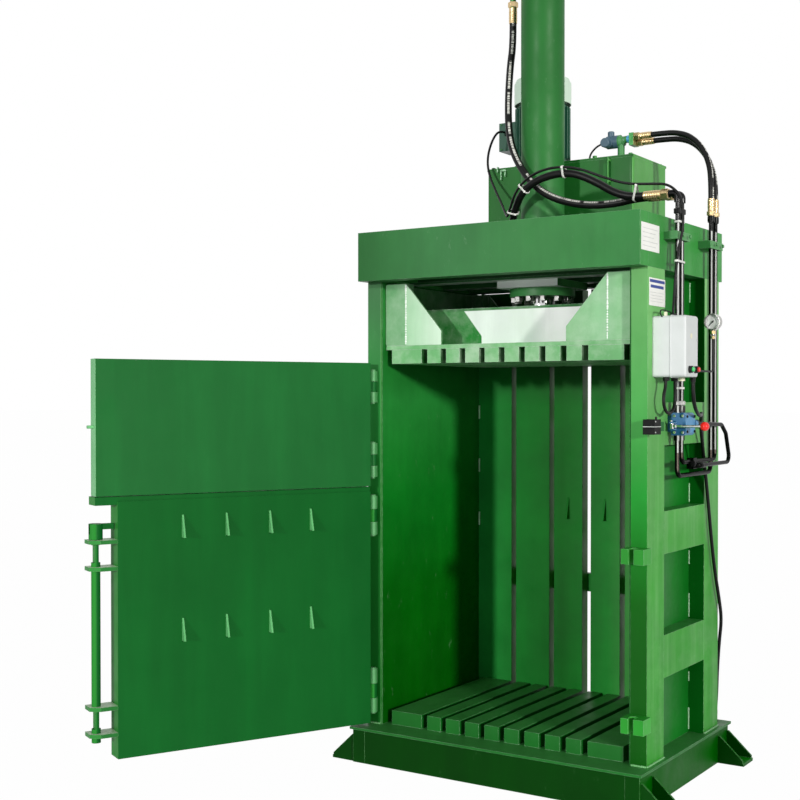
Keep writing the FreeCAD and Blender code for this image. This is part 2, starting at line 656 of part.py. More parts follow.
def make_cylinder():
    """The long cylinder that stands through the top ring, its gland, bolts and cap."""
    outer, bore, low = D["tube_radius"], D["bore_radius"], D["ring_bottom"] - D["mount_thick"]
    node("cylinder_tube", ring("cylinder_tube_body", bore, outer, D["tube_top_z"] - low, (0, 0, low)))

    gland, thick, spigot = D["gland_radius"], D["gland_thick"], D["gland_spigot"]
    inner = D["rod_radius"] + D["running_gap"]
    neck = bore - D["running_gap"]
    body = turned("gland_body", [(inner, 0), (gland, 0), (gland, thick), (neck, thick),
                                 (neck, thick + spigot), (inner, thick + spigot)],
                  (0, 0, low - thick))
    hole = circle(new_sketch(body), (D["bolt_circle"], 0), D["bolt_radius"] + 0.5)
    around(body, pocket(body, hole, thick, True), 12)
    node("cylinder_gland", body)

    head, shank = D["bolt_head_thick"], thick + 12
    bolts = []
    for count in range(12):
        angle = math.radians(30 * count)
        at = (D["bolt_circle"] * math.cos(angle), D["bolt_circle"] * math.sin(angle),
              low - thick - head)
        corners = [(D["bolt_head_radius"] * math.cos(math.radians(60 * corner)),
                    D["bolt_head_radius"] * math.sin(math.radians(60 * corner)))
                   for corner in range(6)]
        bolt = new_body(f"gland_bolt_{count + 1}", at)
        pad(bolt, outline(new_sketch(bolt), corners), head)
        pad(bolt, circle(new_sketch(bolt, lift=head), (0, 0), D["bolt_radius"] - 0.2), shank)
        bolts.append(bolt)
    node("gland_bolts", grouped("gland_bolt_group", bolts))

    chamfer, cap_top = D["cap_chamfer"], D["cap_thick"]
    cap = turned("cap_body", [(0, 0), (outer, 0), (outer, cap_top - chamfer),
                              (outer - chamfer, cap_top), (0, cap_top)], (0, 0, D["tube_top_z"]))
    node("cylinder_cap", cap)


# ---------------------------------------------------------------- oil tank, filter and motor

def make_tank():
    """The oil tank on the ring, its lid with a breather, the sight tube and the return filter."""
    left, right = D["tank_left_x"], D["tank_right_x"]
    front, rear, height, wall = D["tank_front_y"], D["tank_rear_y"], D["tank_height"], D["tank_wall"]
    tank = new_body("tank_body", (0, 0, ring_top))
    shell = rectangle(new_sketch(tank), (-left, front), (right, rear))
    block = pad(tank, shell, height)
    doc.recompute()
    uprights = [f"Edge{count}" for count, edge in enumerate(block.Shape.Edges, start=1)
                if abs(edge.tangentAt(edge.FirstParameter).z) > 0.99]
    rounding = tank.newObject("PartDesign::Fillet", "tank_rounding")
    rounding.Base = (block, uprights)
    bind(rounding, Radius=D["tank_corner"])
    hollow = rectangle(new_sketch(tank, lift=height), (wall - left, front + wall),
                       (right - wall, rear - wall))
    pocket(tank, hollow, height - wall)
    node("oil_tank", tank)

    lid = box("tank_lid_box", (left + right, rear - front, D["lid_thick"]),
              (-left, front, ring_top + height))
    lid_top = ring_top + height + D["lid_thick"]
    breather = cylinder("breather", D["breather_radius"], D["breather_height"],
                        (D["breather_x"], D["breather_y"], lid_top))
    node("tank_lid", joined("tank_lid_fuse", lid, breather))

    x, off = D["level_x"], D["level_standoff"]
    low, high = D["level_low_z"], D["level_high_z"]
    over, stub_radius = D["sight_overrun"], D["sight_stub_radius"]
    sight = cylinder("sight_tube", D["sight_radius"], high - low + over * 2, (x, front - off, low - over))
    stubs = [cylinder(f"sight_stub_{count}", stub_radius, off, (x, front, z), FACING_FRONT)
             for count, z in enumerate((low + over, high - over), start=1)]
    node("level_gauge", joined("level_fuse", sight, *stubs))

    node("return_filter", joined("filter_fuse", *filter_head(), filter_elbow(lid_top)))


def filter_head():
    """The filter's barrel with its two knobs."""
    x, y, z, radius = D["filter_x"], D["filter_y"], D["filter_z"], D["filter_radius"]
    barrel, neck, neck_radius = D["filter_barrel"], D["filter_neck"], radius - D["filter_step"]
    start, overlap = x - D["filter_back"], 4
    body = turned("filter_barrel", [(0, 0), (radius, 0), (radius, barrel),
                                    (neck_radius, barrel + D["filter_chamfer"]),
                                    (neck_radius, neck), (0, neck)], (start, y, z), FACING_RIGHT)
    knobs = []
    for name, shift, at_y, at_z, turn in (
            ("front", 10, y - radius + overlap, z - 8, FACING_FRONT),
            ("top", 16, y, z + radius - overlap, UP)):
        size, length, edge = D[f"{name}_knob_radius"], D[f"{name}_knob_length"], D["knob_chamfer"]
        knobs.append(turned(f"filter_knob_{name}", [(0, 0), (size, 0), (size, length - edge),
                                                    (size - edge, length), (0, length)],
                            (start + shift, at_y, at_z), turn))
    return [body] + knobs


def filter_elbow(lid_top):
    """The pipe that rises from the lid and turns towards the return hoses."""
    x, y = (D["filter_x"] + D["filter_elbow_offset"]).value, D["filter_y"].value
    z = (D["filter_z"] + D["filter_outlet_rise"]).value
    end_x = (D["filter_x"] + D["filter_outlet"]).value
    low = Vector(x, y, lid_top.value)
    path, _ = bent_line([tuple(low), (x, y, z), (end_x, y, z)], D["filter_elbow_bend"].value)
    return solid_feature("return_elbow", sweep_round(path, low, Vector(0, 0, 1),
                                                     D["filter_elbow_radius"].value))


def make_motor():
    """The vertical motor: flanged finned housing, rotor with its fan, cowl and terminal box."""
    at = (D["motor_x"], D["motor_y"], D["motor_bottom_z"])
    x, y = at[0], at[1]
    flange, thick = D["motor_flange_radius"], D["motor_flange_thick"]
    shell, inner = D["motor_body_radius"], D["motor_inner_radius"]
    shaft = D["motor_shaft_radius"] + D["running_gap"]
    rise = D["motor_top_z"] - D["motor_bottom_z"]
    body = turned("motor_body", [(shaft, 0), (flange, 0), (flange, thick), (shell, thick + 12),
                                 (shell, rise), (shaft, rise), (shaft, rise - 20),
                                 (inner, rise - 20), (inner, thick), (shaft, thick)], at)
    reach = D["motor_fin_radius"]
    fin = rectangle(new_sketch(body, lift=thick + 25), (shell - 2, -2), (reach, 2))
    around(body, pad(body, fin, rise - thick - 40), 30)
    node("motor_housing", body)

    high = D["cowl_top_z"] - D["motor_top_z"]
    cowl_radius, wall = D["cowl_radius"], D["cowl_wall"]
    cowl = turned("cowl_body", [(cowl_radius - wall, 0), (cowl_radius, 0), (cowl_radius, high - 28),
                                (cowl_radius - 9, high - 9), (cowl_radius - 30, high), (22, high),
                                (22, high - wall), (cowl_radius - 31, high - wall),
                                (cowl_radius - 12, high - 12), (cowl_radius - wall, high - 29)],
                  (x, y, D["motor_top_z"]))
    vent = rectangle(new_sketch(cowl, lift=high), (40, -4), (86, 4))
    around(cowl, pocket(cowl, vent, wall * 4), 12)
    hub = cylinder("cowl_hub", 24, wall, (x, y, D["cowl_top_z"] - wall))
    feet = [box(f"cowl_foot_{count}", (cowl_radius - shell + 1 - wall, 16, 8),
                (x + step * (cowl_radius - wall) - (cowl_radius - shell + 1 - wall) * (step + 1) / 2,
                 y - 8, D["motor_top_z"]))
            for count, step in enumerate((-1, 1), start=1)]
    node("fan_cowl", joined("cowl_fuse", cowl, hub, *feet))

    spin, core, fan = D["motor_shaft_radius"], D["rotor_radius"], D["fan_radius"]
    rotor = turned("rotor_body", [(0, 0), (spin, 0), (spin, thick + 15), (core, thick + 15),
                                  (core, rise - 35), (spin, rise - 35), (spin, rise + 22),
                                  (30, rise + 22), (30, rise + 44), (spin, rise + 44),
                                  (spin, rise + 60), (0, rise + 60)], at)
    blade = rectangle(new_sketch(rotor, lift=rise + 22), (28, -2), (fan, 2))
    around(rotor, pad(rotor, blade, 20), 8)
    node("motor_rotor", rotor)

    depth, width = D["terminal_depth"], D["terminal_width"]
    corner_x = x - reach - depth + D["terminal_seat"]
    case = box("terminal_case", (depth, width, D["terminal_height"]),
               (corner_x, y - width / 2, D["terminal_z"]))
    gland = cylinder("terminal_gland", D["terminal_gland_radius"], D["terminal_gland_length"],
                     (corner_x + D["terminal_gland_inset"], y - width / 2, D["terminal_gland_z"]),
                     FACING_FRONT)
    housing = cylinder("terminal_room", reach + 0.2, D["terminal_height"] + 40,
                       (x, y, D["terminal_z"] - 20))
    node("terminal_box", less("terminal_cut", joined("terminal_fuse", case, gland), housing))


# ---------------------------------------------------------------- doors, hinges and lock

def door_place(thing):
    """Swings a door piece, drawn closed with its hinge axis as the origin, to its open rest."""
    thing.Placement = Placement(Vector(D["hinge_x"].value, D["hinge_y"].value, 0),
                                Rotation(Vector(0, 0, 1), -D["door_open"].value))
    thing.setExpression("Placement.Base.x", D["hinge_x"].text)
    thing.setExpression("Placement.Base.y", D["hinge_y"].text)
    thing.setExpression("Placement.Rotation.Angle", (D["door_open"] * -1).text)
    return thing


HINGES = {
    "upper": [(1180, 140), (1490, 130)],
    "lower": [(200, 180), (940, 160)],
}


def knuckle(name, barrel, pin, low, height, tab, at=(0, 0)):
    """A hinge barrel with the tab that welds it to its carrier."""
    body = new_body(name, (at[0], at[1], low))
    pad(body, circle(new_sketch(body), (0, 0), barrel), height)
    pad(body, rectangle(new_sketch(body), *tab), height)
    pocket(body, circle(new_sketch(body), (0, 0), pin + D["running_gap"]), height, True)
    return body


def make_hinges():
    """Post knuckles and pins of the four hinges: two knuckles and a headed pin each."""
    sleeves = []
    pins = []
    to_post = -D["frame_half_y"] - D["hinge_y"]
    for door, hinges in HINGES.items():
        barrel, pin, gap = D[f"{door}_barrel"], D[f"{door}_pin"], D["knuckle_gap"]
        for count, (low, height) in enumerate(hinges, start=1):
            third = (as_size(height) - gap * 2) / 3
            for level, start in enumerate((low, low + height - third), start=1):
                name = f"{door}_post_knuckle_{count}{level}"
                sleeves.append(knuckle(name, barrel, pin, start, third, ((-7, 0), (7, to_post)),
                                       (D["hinge_x"], D["hinge_y"])))
            at = (D["hinge_x"], D["hinge_y"], as_size(low) - 6)
            pins.append(turned(f"{door}_pin_{count}", [
                (0, 0), (pin, 0), (pin, as_size(height) + 6), (pin + 3, as_size(height) + 6),
                (pin + 3, as_size(height) + 12), (0, as_size(height) + 12)], at))
    node("post_knuckles", grouped("post_knuckle_group", sleeves))
    node("hinge_pins", grouped("hinge_pin_group", pins))


def door_knuckles(door):
    """The middle knuckle of each hinge of a door, welded to the door's edge."""
    barrel, pin, gap = D[f"{door}_barrel"], D[f"{door}_pin"], D["knuckle_gap"]
    start = D["door_start"]
    sleeves = []
    for count, (low, height) in enumerate(HINGES[door], start=1):
        third = (as_size(height) - gap * 2) / 3
        sleeves.append(knuckle(f"{door}_door_knuckle_{count}", barrel, pin, low + third + gap, third,
                               ((0, -7), (start + 1, 7))))
    return sleeves


def door_tray(name, length, thick, low, high, columns, rows):
    """A door leaf: a flat inner skin and a frame with stiffeners on the outside."""
    start, inner, skin, frame = D["door_start"], D["door_inner"], D["door_skin"], D["door_frame"]
    leaf = new_body(name, (0, 0, low))
    pad(leaf, rectangle(new_sketch(leaf), (start, inner - thick), (length, inner)), high - low)
    bay = (length - start - frame * (columns + 1)) / columns
    storey = (high - low - frame * (rows + 1)) / rows
    for column in range(columns):
        for row in range(rows):
            left = start + frame + (bay + frame) * column
            sill = frame + (storey + frame) * row
            opening = rectangle(new_sketch(leaf, "XZ_Plane", thick - inner), (left, sill),
                                (left + bay, sill + storey))
            pocket(leaf, opening, thick - skin)
    return leaf


def make_doors():
    """The upper and lower door, both hung on the left post, and the brackets of the lock shaft."""
    upper = door_tray("upper_leaf", D["upper_length"], D["upper_thick"], D["upper_bottom_z"],
                      D["upper_top_z"], 4, 1)
    middle_y = D["door_inner"] - D["upper_thick"] / 2
    stud = cylinder("stud", D["stud_radius"], D["stud_reach"],
                    (D["upper_length"], middle_y, D["stud_z"]), FACING_RIGHT)
    node("upper_door", door_place(joined("upper_fuse", upper, stud, *door_knuckles("upper"))))

    start, inner, thick, skin = D["door_start"], D["door_inner"], D["lower_thick"], D["door_skin"]
    lower = door_tray("lower_leaf", D["lower_length"], thick, D["lower_bottom_z"],
                      D["lower_top_z"], 4, 2)
    bar = box("door_bar", (D["bar_length"] - start, thick - skin, D["bar_top_z"] - D["lower_top_z"]),
              (start, inner - thick, D["lower_top_z"]))
    lap = box("skin_lap", (D["lower_length"] - start, skin, D["skin_top_z"] - D["lower_top_z"]),
              (start, inner - skin, D["lower_top_z"]))
    barbs = [barb(f"door_barb_{column}_{low}", (column, inner, low), HALF_TURN)
             for column in BARB_COLUMNS for low in BARB_LEVELS]
    leaf = joined("lower_fuse", lower, bar, lap, *door_knuckles("lower"))
    node("lower_door", door_place(grouped("lower_group", [leaf] + barbs)))

    edge, reach = D["lower_length"], D["bracket_reach"]
    shaft_y = inner - thick / 2
    brackets = []
    for count, low in enumerate(BRACKET_LEVELS, start=1):
        body = new_body(f"lock_bracket_{count}", (0, 0, low))
        shape = [(edge, inner - thick), (edge + reach, inner - thick), (edge + reach, inner - 24),
                 (edge + reach - 36, inner), (edge, inner)]
        sketch = outline(new_sketch(body), shape)
        circle(sketch, (D["lock_x"], shaft_y), D["lock_radius"] + D["running_gap"])
        pad(body, sketch, D["bracket_thick"])
        brackets.append(body)
    node("lock_brackets", door_place(grouped("bracket_group", brackets)))


BARB_COLUMNS = (300, 480, 665, 845)
BARB_LEVELS = (580, 975)
BRACKET_LEVELS = (245, 345, 865, 965)


def make_lock():
    """The turning lock shaft, flattened where it enters the catches, and the catches."""
    shaft_y = D["door_inner"] - D["lower_thick"] / 2
    radius, low, high = D["lock_radius"], D["lock_bottom_z"], D["lock_top_z"]
    shaft = new_body("lock_shaft_body", (D["lock_x"], shaft_y, low))
    pad(shaft, circle(new_sketch(shaft), (0, 0), radius), high - low)
    for lug in ("lug_low_z", "lug_high_z"):
        for side in (-1, 1):
            near, far = side * D["lock_flat_half"], side * (radius + 3)
            lift = D[lug] - low - 4
            flat = new_sketch(shaft, lift=lift)
            rectangle(flat, (near, -radius - 3), (far, radius + 3))
            pocket(shaft, flat, D["lug_height"] + 8, True)
    head = new_sketch(shaft, lift=D["lock_head_z"] - low)
    circle(head, (0, 0), D["lock_head_radius"])
    pad(shaft, head, high - D["lock_head_z"])
    notch = new_sketch(shaft, lift=D["lock_head_z"] - low + 20)
    rectangle(notch, (6, -8), (D["lock_head_radius"] + 4, 8))
    pocket(shaft, notch, high - D["lock_head_z"] - 20, True)
    arm = box("lock_arm", (58, 14, 22), (D["lock_x"] - 68, shaft_y - 7, high - 22))
    node("lock_shaft", door_place(joined("lock_fuse", shaft, arm)))

    lugs = []
    front, back = D["lug_front_y"], D["frame_half_y"]
    centre = (D["hinge_x"] + D["lock_x"], D["hinge_y"] + shaft_y)
    half = D["lug_mouth"] / 2
    for lug in ("lug_low_z", "lug_high_z"):
        body = new_body(f"{lug}_lug", (0, 0, D[lug]))
        block = rectangle(new_sketch(body), (D["lug_left_x"], -front), (D["lug_right_x"], -back))
        pad(body, block, D["lug_height"])
        seat = circle(new_sketch(body), centre, D["lug_seat_radius"])
        pocket(body, seat, D["lug_height"], True)
        mouth = rectangle(new_sketch(body), (centre[0] - half, -front - 5),
                          (centre[0] + half, centre[1]))
        pocket(body, mouth, D["lug_height"], True)
        lugs.append(body)
    node("catch_lugs", grouped("lug_group", lugs))


# ---------------------------------------------------------------- pipes and valve

def make_pipes():
    """Rigid lines on the right side: two down to the valve, two back up to the return hoses."""
    radius, x, bend = D["pipe_radius"].value, D["pipe_x"].value, D["pipe_bend"].value
    elbow_z, valve_top = D["pipe_elbow_z"].value, (D["valve_z"] + D["valve_height"]).value
    valve_low = D["valve_z"].value
    elbow_radius, elbow_bend = D["elbow_radius"].value, D["elbow_bend"].value
    reach, nut = D["elbow_reach"].value, D["pipe_nut_length"].value
    front = [D["front_pipe_y"].value, D["front_pipe_2_y"].value]
    pieces = []
    for count, y in enumerate(front, start=1):
        elbow = [(x - reach, y, elbow_z), (x, y, elbow_z), (x, y, elbow_z - reach)]
        pieces.append(tube_along(f"elbow_{count}", elbow, elbow_radius, elbow_bend))
        pieces.append(tube_along(f"pressure_pipe_{count}", [(x, y, elbow_z - reach),
                                                            (x, y, valve_top + nut)], radius))
        pieces.append(cylinder(f"valve_nut_{count}", elbow_radius, nut, (x, y, valve_top)))
    node("pressure_pipes", grouped("pressure_group", pieces))

    top = D["rear_pipe_top_z"].value
    pieces = []
    for count, (y, low, front_y) in enumerate((
            (D["rear_pipe_y"].value, D["low_run_z"].value, front[0]),
            (D["rear_pipe_2_y"].value, D["low_run_2_z"].value, front[1])), start=1):
        route = [(x, y, top - nut), (x, y, low), (x, front_y, low), (x, front_y, valve_low - 20)]
        pipe = tube_along(f"return_pipe_{count}", route, radius, bend)
        pieces.append(pipe if count == 1 else joined("return_pipe_with_tee", pipe, loop_tee()))
        pieces.append(cylinder(f"return_nut_{count}", radius + 4, 20, (x, front_y, valve_low - 20)))
        pieces.append(cylinder(f"return_top_nut_{count}", radius + 4, nut, (x, y, top - nut)))

    pieces += loop_line()
    node("return_pipes", grouped("return_group", pieces))

    bar_x, plate, tall = x + radius + 1, D["clamp_plate"], D["clamp_height"]
    overhang = D["clamp_overhang"].value
    pieces = []
    for count, (first, second) in enumerate(((front[0], front[1]),
                                             (D["rear_pipe_y"].value, D["rear_pipe_2_y"].value)),
                                            start=1):
        low_y, run = first - overhang, second - first + overhang * 2
        bar = box(f"clamp_bar_{count}", (plate, run, tall), (bar_x, low_y, D["clamp_z"]))
        stand = [box(f"clamp_stand_{count}{step}", (bar_x - D["frame_half_x"], 14, tall),
                     (D["frame_half_x"], low_y + step * (run - 14), D["clamp_z"]))
                 for step in (0, 1)]
        pieces.append(joined(f"clamp_{count}", bar, *stand))
    node("pipe_clamps", grouped("clamp_group", pieces))


def loop_tee():
    """The block on the second return pipe that the loop comes back into."""
    depth, width = D["tee_depth"], D["tee_width"]
    size = (depth, width, D["tee_top_z"] - D["tee_low_z"])
    return box("loop_tee", size, (D["pipe_x"] - depth / 2, D["tee_y"] - width / 2, D["tee_low_z"]))


def loop_line():
    """The loop from the valve's far end: out to the rear, down, and back to the tee."""
    x, top, nut = D["valve_port_x"].value, D["valve_port_z"].value, D["valve_port_length"].value
    radius, low, end_y = D["loop_radius"].value, D["loop_low_z"].value, D["loop_end_y"].value
    start_y = (D["valve_y"] + D["valve_length"]).value + nut * 2
    route = [(x, start_y, top), (x, D["loop_top_y"].value, top - 8),
             (x, D["loop_side_y"].value, D["loop_side_z"].value),
             (x, D["loop_rear_y"].value, low), (x, end_y, low)]
    tee_y, tee_x = D["tee_y"].value, (D["pipe_x"] + D["tee_depth"] / 2).value
    elbow = [(x, end_y, low), (x, tee_y, low), (tee_x, tee_y, low)]
    return [
        tube_along("loop_pipe", route, radius, D["loop_bend"].value),
        cylinder("loop_nut", radius + 5, nut, (x, start_y, top), FACING_FRONT),
        tube_along("loop_elbow", elbow, D["loop_elbow_radius"].value, D["loop_elbow_bend"].value),
    ]


def make_valve():
    """The hand valve on the upper cross member, and its lever with a ball."""
    x, y, z = D["valve_x"], D["valve_y"], D["valve_z"]
    width, length, height = D["valve_width"], D["valve_length"], D["valve_height"]
    body = new_body("valve_body", (x, y, z))
    corner = 10
    shape = [(0, 0), (width - corner, 0), (width, corner), (width, height - corner),
             (width - corner, height), (0, height)]
    pad(body, outline(new_sketch(body, "XZ_Plane"), shape), length, True)
    foot = box("valve_foot", (x - D["frame_half_x"], length - 20, height - 24),
               (D["frame_half_x"], y + 10, z + 12))
    port = D["valve_port_length"]
    far_end = cylinder("valve_far_end", D["valve_port_radius"], port,
                       (D["valve_port_x"], y + length + port, D["valve_port_z"]), FACING_FRONT)
    start, lever_y, lever_z = D["lever_pivot_x"], D["lever_y"], D["lever_z"]
    near_end = cylinder("valve_near_end", 13, 5, (start, y, lever_z), FACING_FRONT)
    half, plate, fork_gap = D["lever_boss_half"], D["fork_plate"], D["fork_gap"]
    fork_y, fork_half = lever_y - D["fork_reach"], D["fork_width"] / 2
    fork = [box(f"fork_plate_{count}", (D["fork_width"], y - fork_y, plate),
                (start - fork_half, fork_y, low))
            for count, low in enumerate((lever_z - half - fork_gap - plate, lever_z + half + fork_gap),
                                        start=1)]
    pin = cylinder("lever_pin", D["lever_pin_radius"], (half + fork_gap) * 2,
                   (start, lever_y, lever_z - half - fork_gap))
    node("hand_valve", joined("valve_fuse", body, foot, far_end, near_end, pin, *fork))

    radius, ball = D["lever_radius"], D["ball_radius"]
    reach = D["ball_x"] - start
    rod = turned("lever_rod", [(0, 5), (radius + 2, 5), (radius + 2, 14), (radius, 18),
                               (radius, reach - ball + 2), (0, reach - ball + 2)],
                 (start, lever_y, lever_z), FACING_RIGHT)
    boss_at = (start, lever_y, lever_z - half)
    boss = cylinder("lever_boss", D["lever_boss_radius"], half * 2, boss_at)
    eye = cylinder("lever_eye", D["lever_pin_radius"] + D["running_gap"], half * 2, boss_at)
    node("valve_lever", less("lever_cut", joined("lever_fuse", rod, boss), eye))
    knob = new_body("ball_body", (D["ball_x"], D["lever_y"], D["lever_z"]), FACING_RIGHT)
    sketch = new_sketch(knob, "XZ_Plane")
    size, flat = ball.value, ball.value - 2
    side = math.sqrt(size ** 2 - flat ** 2)
    sketch.addGeometry(Part.LineSegment(Vector(0, size, 0), Vector(0, -flat, 0)), False)
    sketch.addGeometry(Part.LineSegment(Vector(0, -flat, 0), Vector(side, -flat, 0)), False)
    arc = Part.Arc(Vector(side, -flat, 0), Vector(size, 0, 0), Vector(0, size, 0))
    sketch.addGeometry(arc, False)
    for start_item, start_end, item, end in ((0, 2, 1, 1), (1, 2, 2, 1), (2, 2, 0, 1)):
        sketch.addConstraint(Sketcher.Constraint("Coincident", start_item, start_end, item, end))
    sketch.addConstraint(Sketcher.Constraint("PointOnObject", 0, 1, -2))
    sketch.addConstraint(Sketcher.Constraint("PointOnObject", 0, 2, -2))
    sketch.addConstraint(Sketcher.Constraint("Horizontal", 1))
    sketch.addConstraint(Sketcher.Constraint("Coincident", 2, 3, -1, 1))
    index = sketch.addConstraint(Sketcher.Constraint("Radius", 2, size))
    sketch.setExpression(f"Constraints[{index}]", ball.text)
    index = sketch.addConstraint(Sketcher.Constraint("DistanceY", 0, 2, -1, 1, flat))
    sketch.setExpression(f"Constraints[{index}]", (ball - 2).text)
    revolved(knob, sketch)
    node("lever_ball", knob)


# ---------------------------------------------------------------- controls and gauge

def hollow_half(name, low_x, depth, open_up, corner):
    """Half of the starter's case: a rounded tray whose mouth is at the seam."""
    y, z, width, height = D["box_front_y"], D["box_bottom_z"], D["box_width"], D["box_height"]
    wall = D["box_wall"]
    body = new_body(name, (low_x, y, z))
    block = pad(body, rectangle(new_sketch(body, "YZ_Plane"), (0, 0), (width, height)), depth)
    doc.recompute()
    long_edges = [f"Edge{count}" for count, edge in enumerate(block.Shape.Edges, start=1)
                  if abs(edge.tangentAt(edge.FirstParameter).x) > 0.99]
    rounding = body.newObject("PartDesign::Fillet", f"{name}_rounding")
    rounding.Base = (block, long_edges)
    bind(rounding, Radius=corner)
    if not open_up:
        doc.recompute()
        face_edges = [f"Edge{count}" for count, edge in enumerate(rounding.Shape.Edges, start=1)
                      if all(abs(vertex.X - depth.value) < 0.01 for vertex in edge.Vertexes)]
        softened = body.newObject("PartDesign::Fillet", f"{name}_face_rounding")
        softened.Base = (rounding, face_edges)
        bind(softened, Radius=D["box_face_round"])
    lift = depth if open_up else as_size(0)
    room = rectangle(new_sketch(body, "YZ_Plane", lift), (wall, wall), (width - wall, height - wall))
    pocket(body, room, depth - wall, not open_up)
    return body


def make_controls():
    """The starter's case with its two push buttons, and the door switch with its plunger."""
    seam, face, wall_x = D["box_seam_x"], D["box_face_x"], D["frame_half_x"]
    node("starter_box", hollow_half("starter_case", wall_x, seam - wall_x, True, D["box_corner"]))
    cover = hollow_half("starter_cover_case", seam, face - seam, False, D["box_corner"])
    cap, reach = D["cap_radius"], D["cap_reach"]
    places = [(D["button_y"] + D["button_pitch"] * step, D["button_z"]) for step in (0, 1)]
    for y, z in places:
        hole = new_sketch(cover, "YZ_Plane", face - seam)
        circle(hole, (y - D["box_front_y"], z - D["box_bottom_z"]), cap + D["running_gap"])
        pocket(cover, hole, D["box_wall"] * 2)
    node("starter_cover", cover)
    bezels = [ring(f"bezel_{count}", cap + D["running_gap"], D["bezel_radius"], D["bezel_length"],
                   (face, y, z), FACING_RIGHT) for count, (y, z) in enumerate(places, start=1)]
    node("button_bezels", grouped("bezel_group", bezels))
    for label, (y, z) in zip(("stop_button", "start_button"), reversed(places)):
        button = turned(f"{label}_body", [(0, -12), (cap + 3, -12), (cap + 3, -8), (cap, -8),
                                          (cap, reach - 2), (cap - 2, reach), (0, reach)],
                        (face, y, z), FACING_RIGHT)
        node(label, button)

    x, y, z = D["switch_x"], D["switch_y"], D["switch_z"]
    width, depth, height = D["switch_width"], D["switch_depth"], D["switch_height"]
    case = box("switch_case", (width, depth, height), (x, y, z))
    arm = box("switch_arm", (10, 80, height - 20), (x + 15, y + depth, z + 10))
    foot = box("switch_foot", (x + 25 - wall_x, 34, height - 20), (wall_x, y + depth + 46, z + 10))
    tip, radius = D["plunger_tip_x"], D["plunger_radius"]
    middle = (y + 42, z + height / 2)
    bore = cylinder("plunger_room", radius + D["running_gap"], 16, (x, *middle), FACING_RIGHT)
    node("limit_switch", less("switch_cut", joined("switch_fuse", case, arm, foot), bore))
    node("switch_plunger", turned("plunger_body", [(0, 0), (radius - 1, 0), (radius, 1.5),
                                                   (radius, x - tip + 8), (0, x - tip + 8)],
                                  (tip, *middle), FACING_RIGHT))


def make_gauge():
    """The pressure gauge, facing forwards: case, lens, needle and the thin tube that feeds it."""
    at = (D["gauge_x"], D["gauge_y"], D["gauge_z"])
    radius, depth = D["gauge_radius"], D["gauge_depth"]
    lip, dial = radius - 3, depth - 9
    case = turned("gauge_case_body", [(0, 0), (radius, 0), (radius, depth), (lip - 1, depth),
                                      (lip - 1, depth - 2), (lip, depth - 2), (lip, dial),
                                      (0, dial)],
                  (at[0], at[1] + depth, at[2]), FACING_FRONT)
    stem_y = at[1] + depth / 2
    stem = cylinder("gauge_stem", 7, 24, (at[0], stem_y, at[2] - radius - 20))
    node("gauge_case", joined("gauge_fuse", case, stem))
    lens = cylinder("gauge_lens_disc", lip - 0.1, 2, (at[0], at[1] + 4, at[2]), FACING_FRONT)
    node("gauge_lens", lens)
    needle_y = at[1] + depth - dial - 1
    needle = plate_with_outline("needle_body", [(-2.5, -7), (2.5, -7), (0.8, 22), (-0.8, 22)], 1.2,
                                (at[0], needle_y, at[2]), Rotation(Vector(0, 1, 0), -135),
                                "XZ_Plane")
    node("gauge_needle", needle)

    x, z = at[0].value, at[2].value
    y, radius_mm = stem_y.value, radius.value
    front_y = D["front_pipe_2_y"].value
    low = D["gauge_tube_z"].value
    route = [(x, y, z - radius_mm - 20), (x, y, low), (x, front_y, low),
             (D["pipe_x"].value + D["pipe_radius"].value, front_y, low)]
    node("gauge_tube", tube_along("gauge_tube_run", route, 4, 12))


# ---------------------------------------------------------------- hoses, cables and their ends

UPPER_HOSE = [(-140, 0, 3088), (-140, 0, 2990), (-143, -20, 2900), (-135, -52, 2740),
              (-112, -88, 2610), (-72, -120, 2510), (-3, -146, 2412), (78, -160, 2335),
              (172, -166, 2290), (285, -164, 2264), (395, -152, 2264), (470, -136, 2280),
              (530, -136, 2280)]
LOWER_HOSE = [(-126, -26, 2106), (-120, -50, 2160), (-98, -88, 2222), (-54, -138, 2282),
              (-2, -182, 2336), (72, -208, 2374), (165, -222, 2392), (255, -228, 2386),
              (340, -214, 2346), (408, -193, 2300), (474, -178, 2280), (530, -178, 2280)]
RETURN_HOSES = [
    [(372, 255, 2604), (420, 255, 2604), (486, 252, 2600), (552, 240, 2575), (608, 222, 2520),
     (644, 203, 2448), (660, 180, 2372), (660, 180, 2300)],
    [(372, 285, 2584), (420, 285, 2584), (486, 283, 2580), (552, 272, 2555), (608, 258, 2500),
     (644, 243, 2428), (660, 228, 2360), (660, 228, 2300)],
]
MOTOR_CABLE = [(-312, 240.5, 2688), (-312, 200, 2688), (-320, 166, 2664), (-330, 136, 2606),
               (-327, 110, 2540), (-300, 82, 2472), (-246, 40, 2398), (-180, -20, 2322),
               (-130, -76, 2268), (-100, -120, 2256), (-66, -162, 2280), (-16, -204, 2346),
               (64, -230, 2396), (163, -243, 2416), (272, -247, 2404), (374, -235, 2360),
               (464, -212, 2326), (560, -200, 2320), (630, -198, 2314), (680, -204, 2268),
               (694, -208, 2200), (692, -210, 2130), (676, -214, 2060), (664, -214, 1950),
               (664, -222, 1880), (666, -236, 1845), (666, -236, 1810)]
CONTROL_LEAD = [(668, -312, 1584), (668, -312, 1552), (668, -331, 1521), (668, -334, 1488),
                (669, -317, 1460), (670, -287, 1448), (671, -254, 1457), (672, -234, 1481),
                (672, -229, 1517), (672, -232, 1551), (672, -232, 1584)]
FILTER_LEAD = [(174, 262, 2592), (158, 262, 2592), (132, 252, 2582), (112, 240, 2558),
               (104, 231, 2534), (104, 231, 2510)]
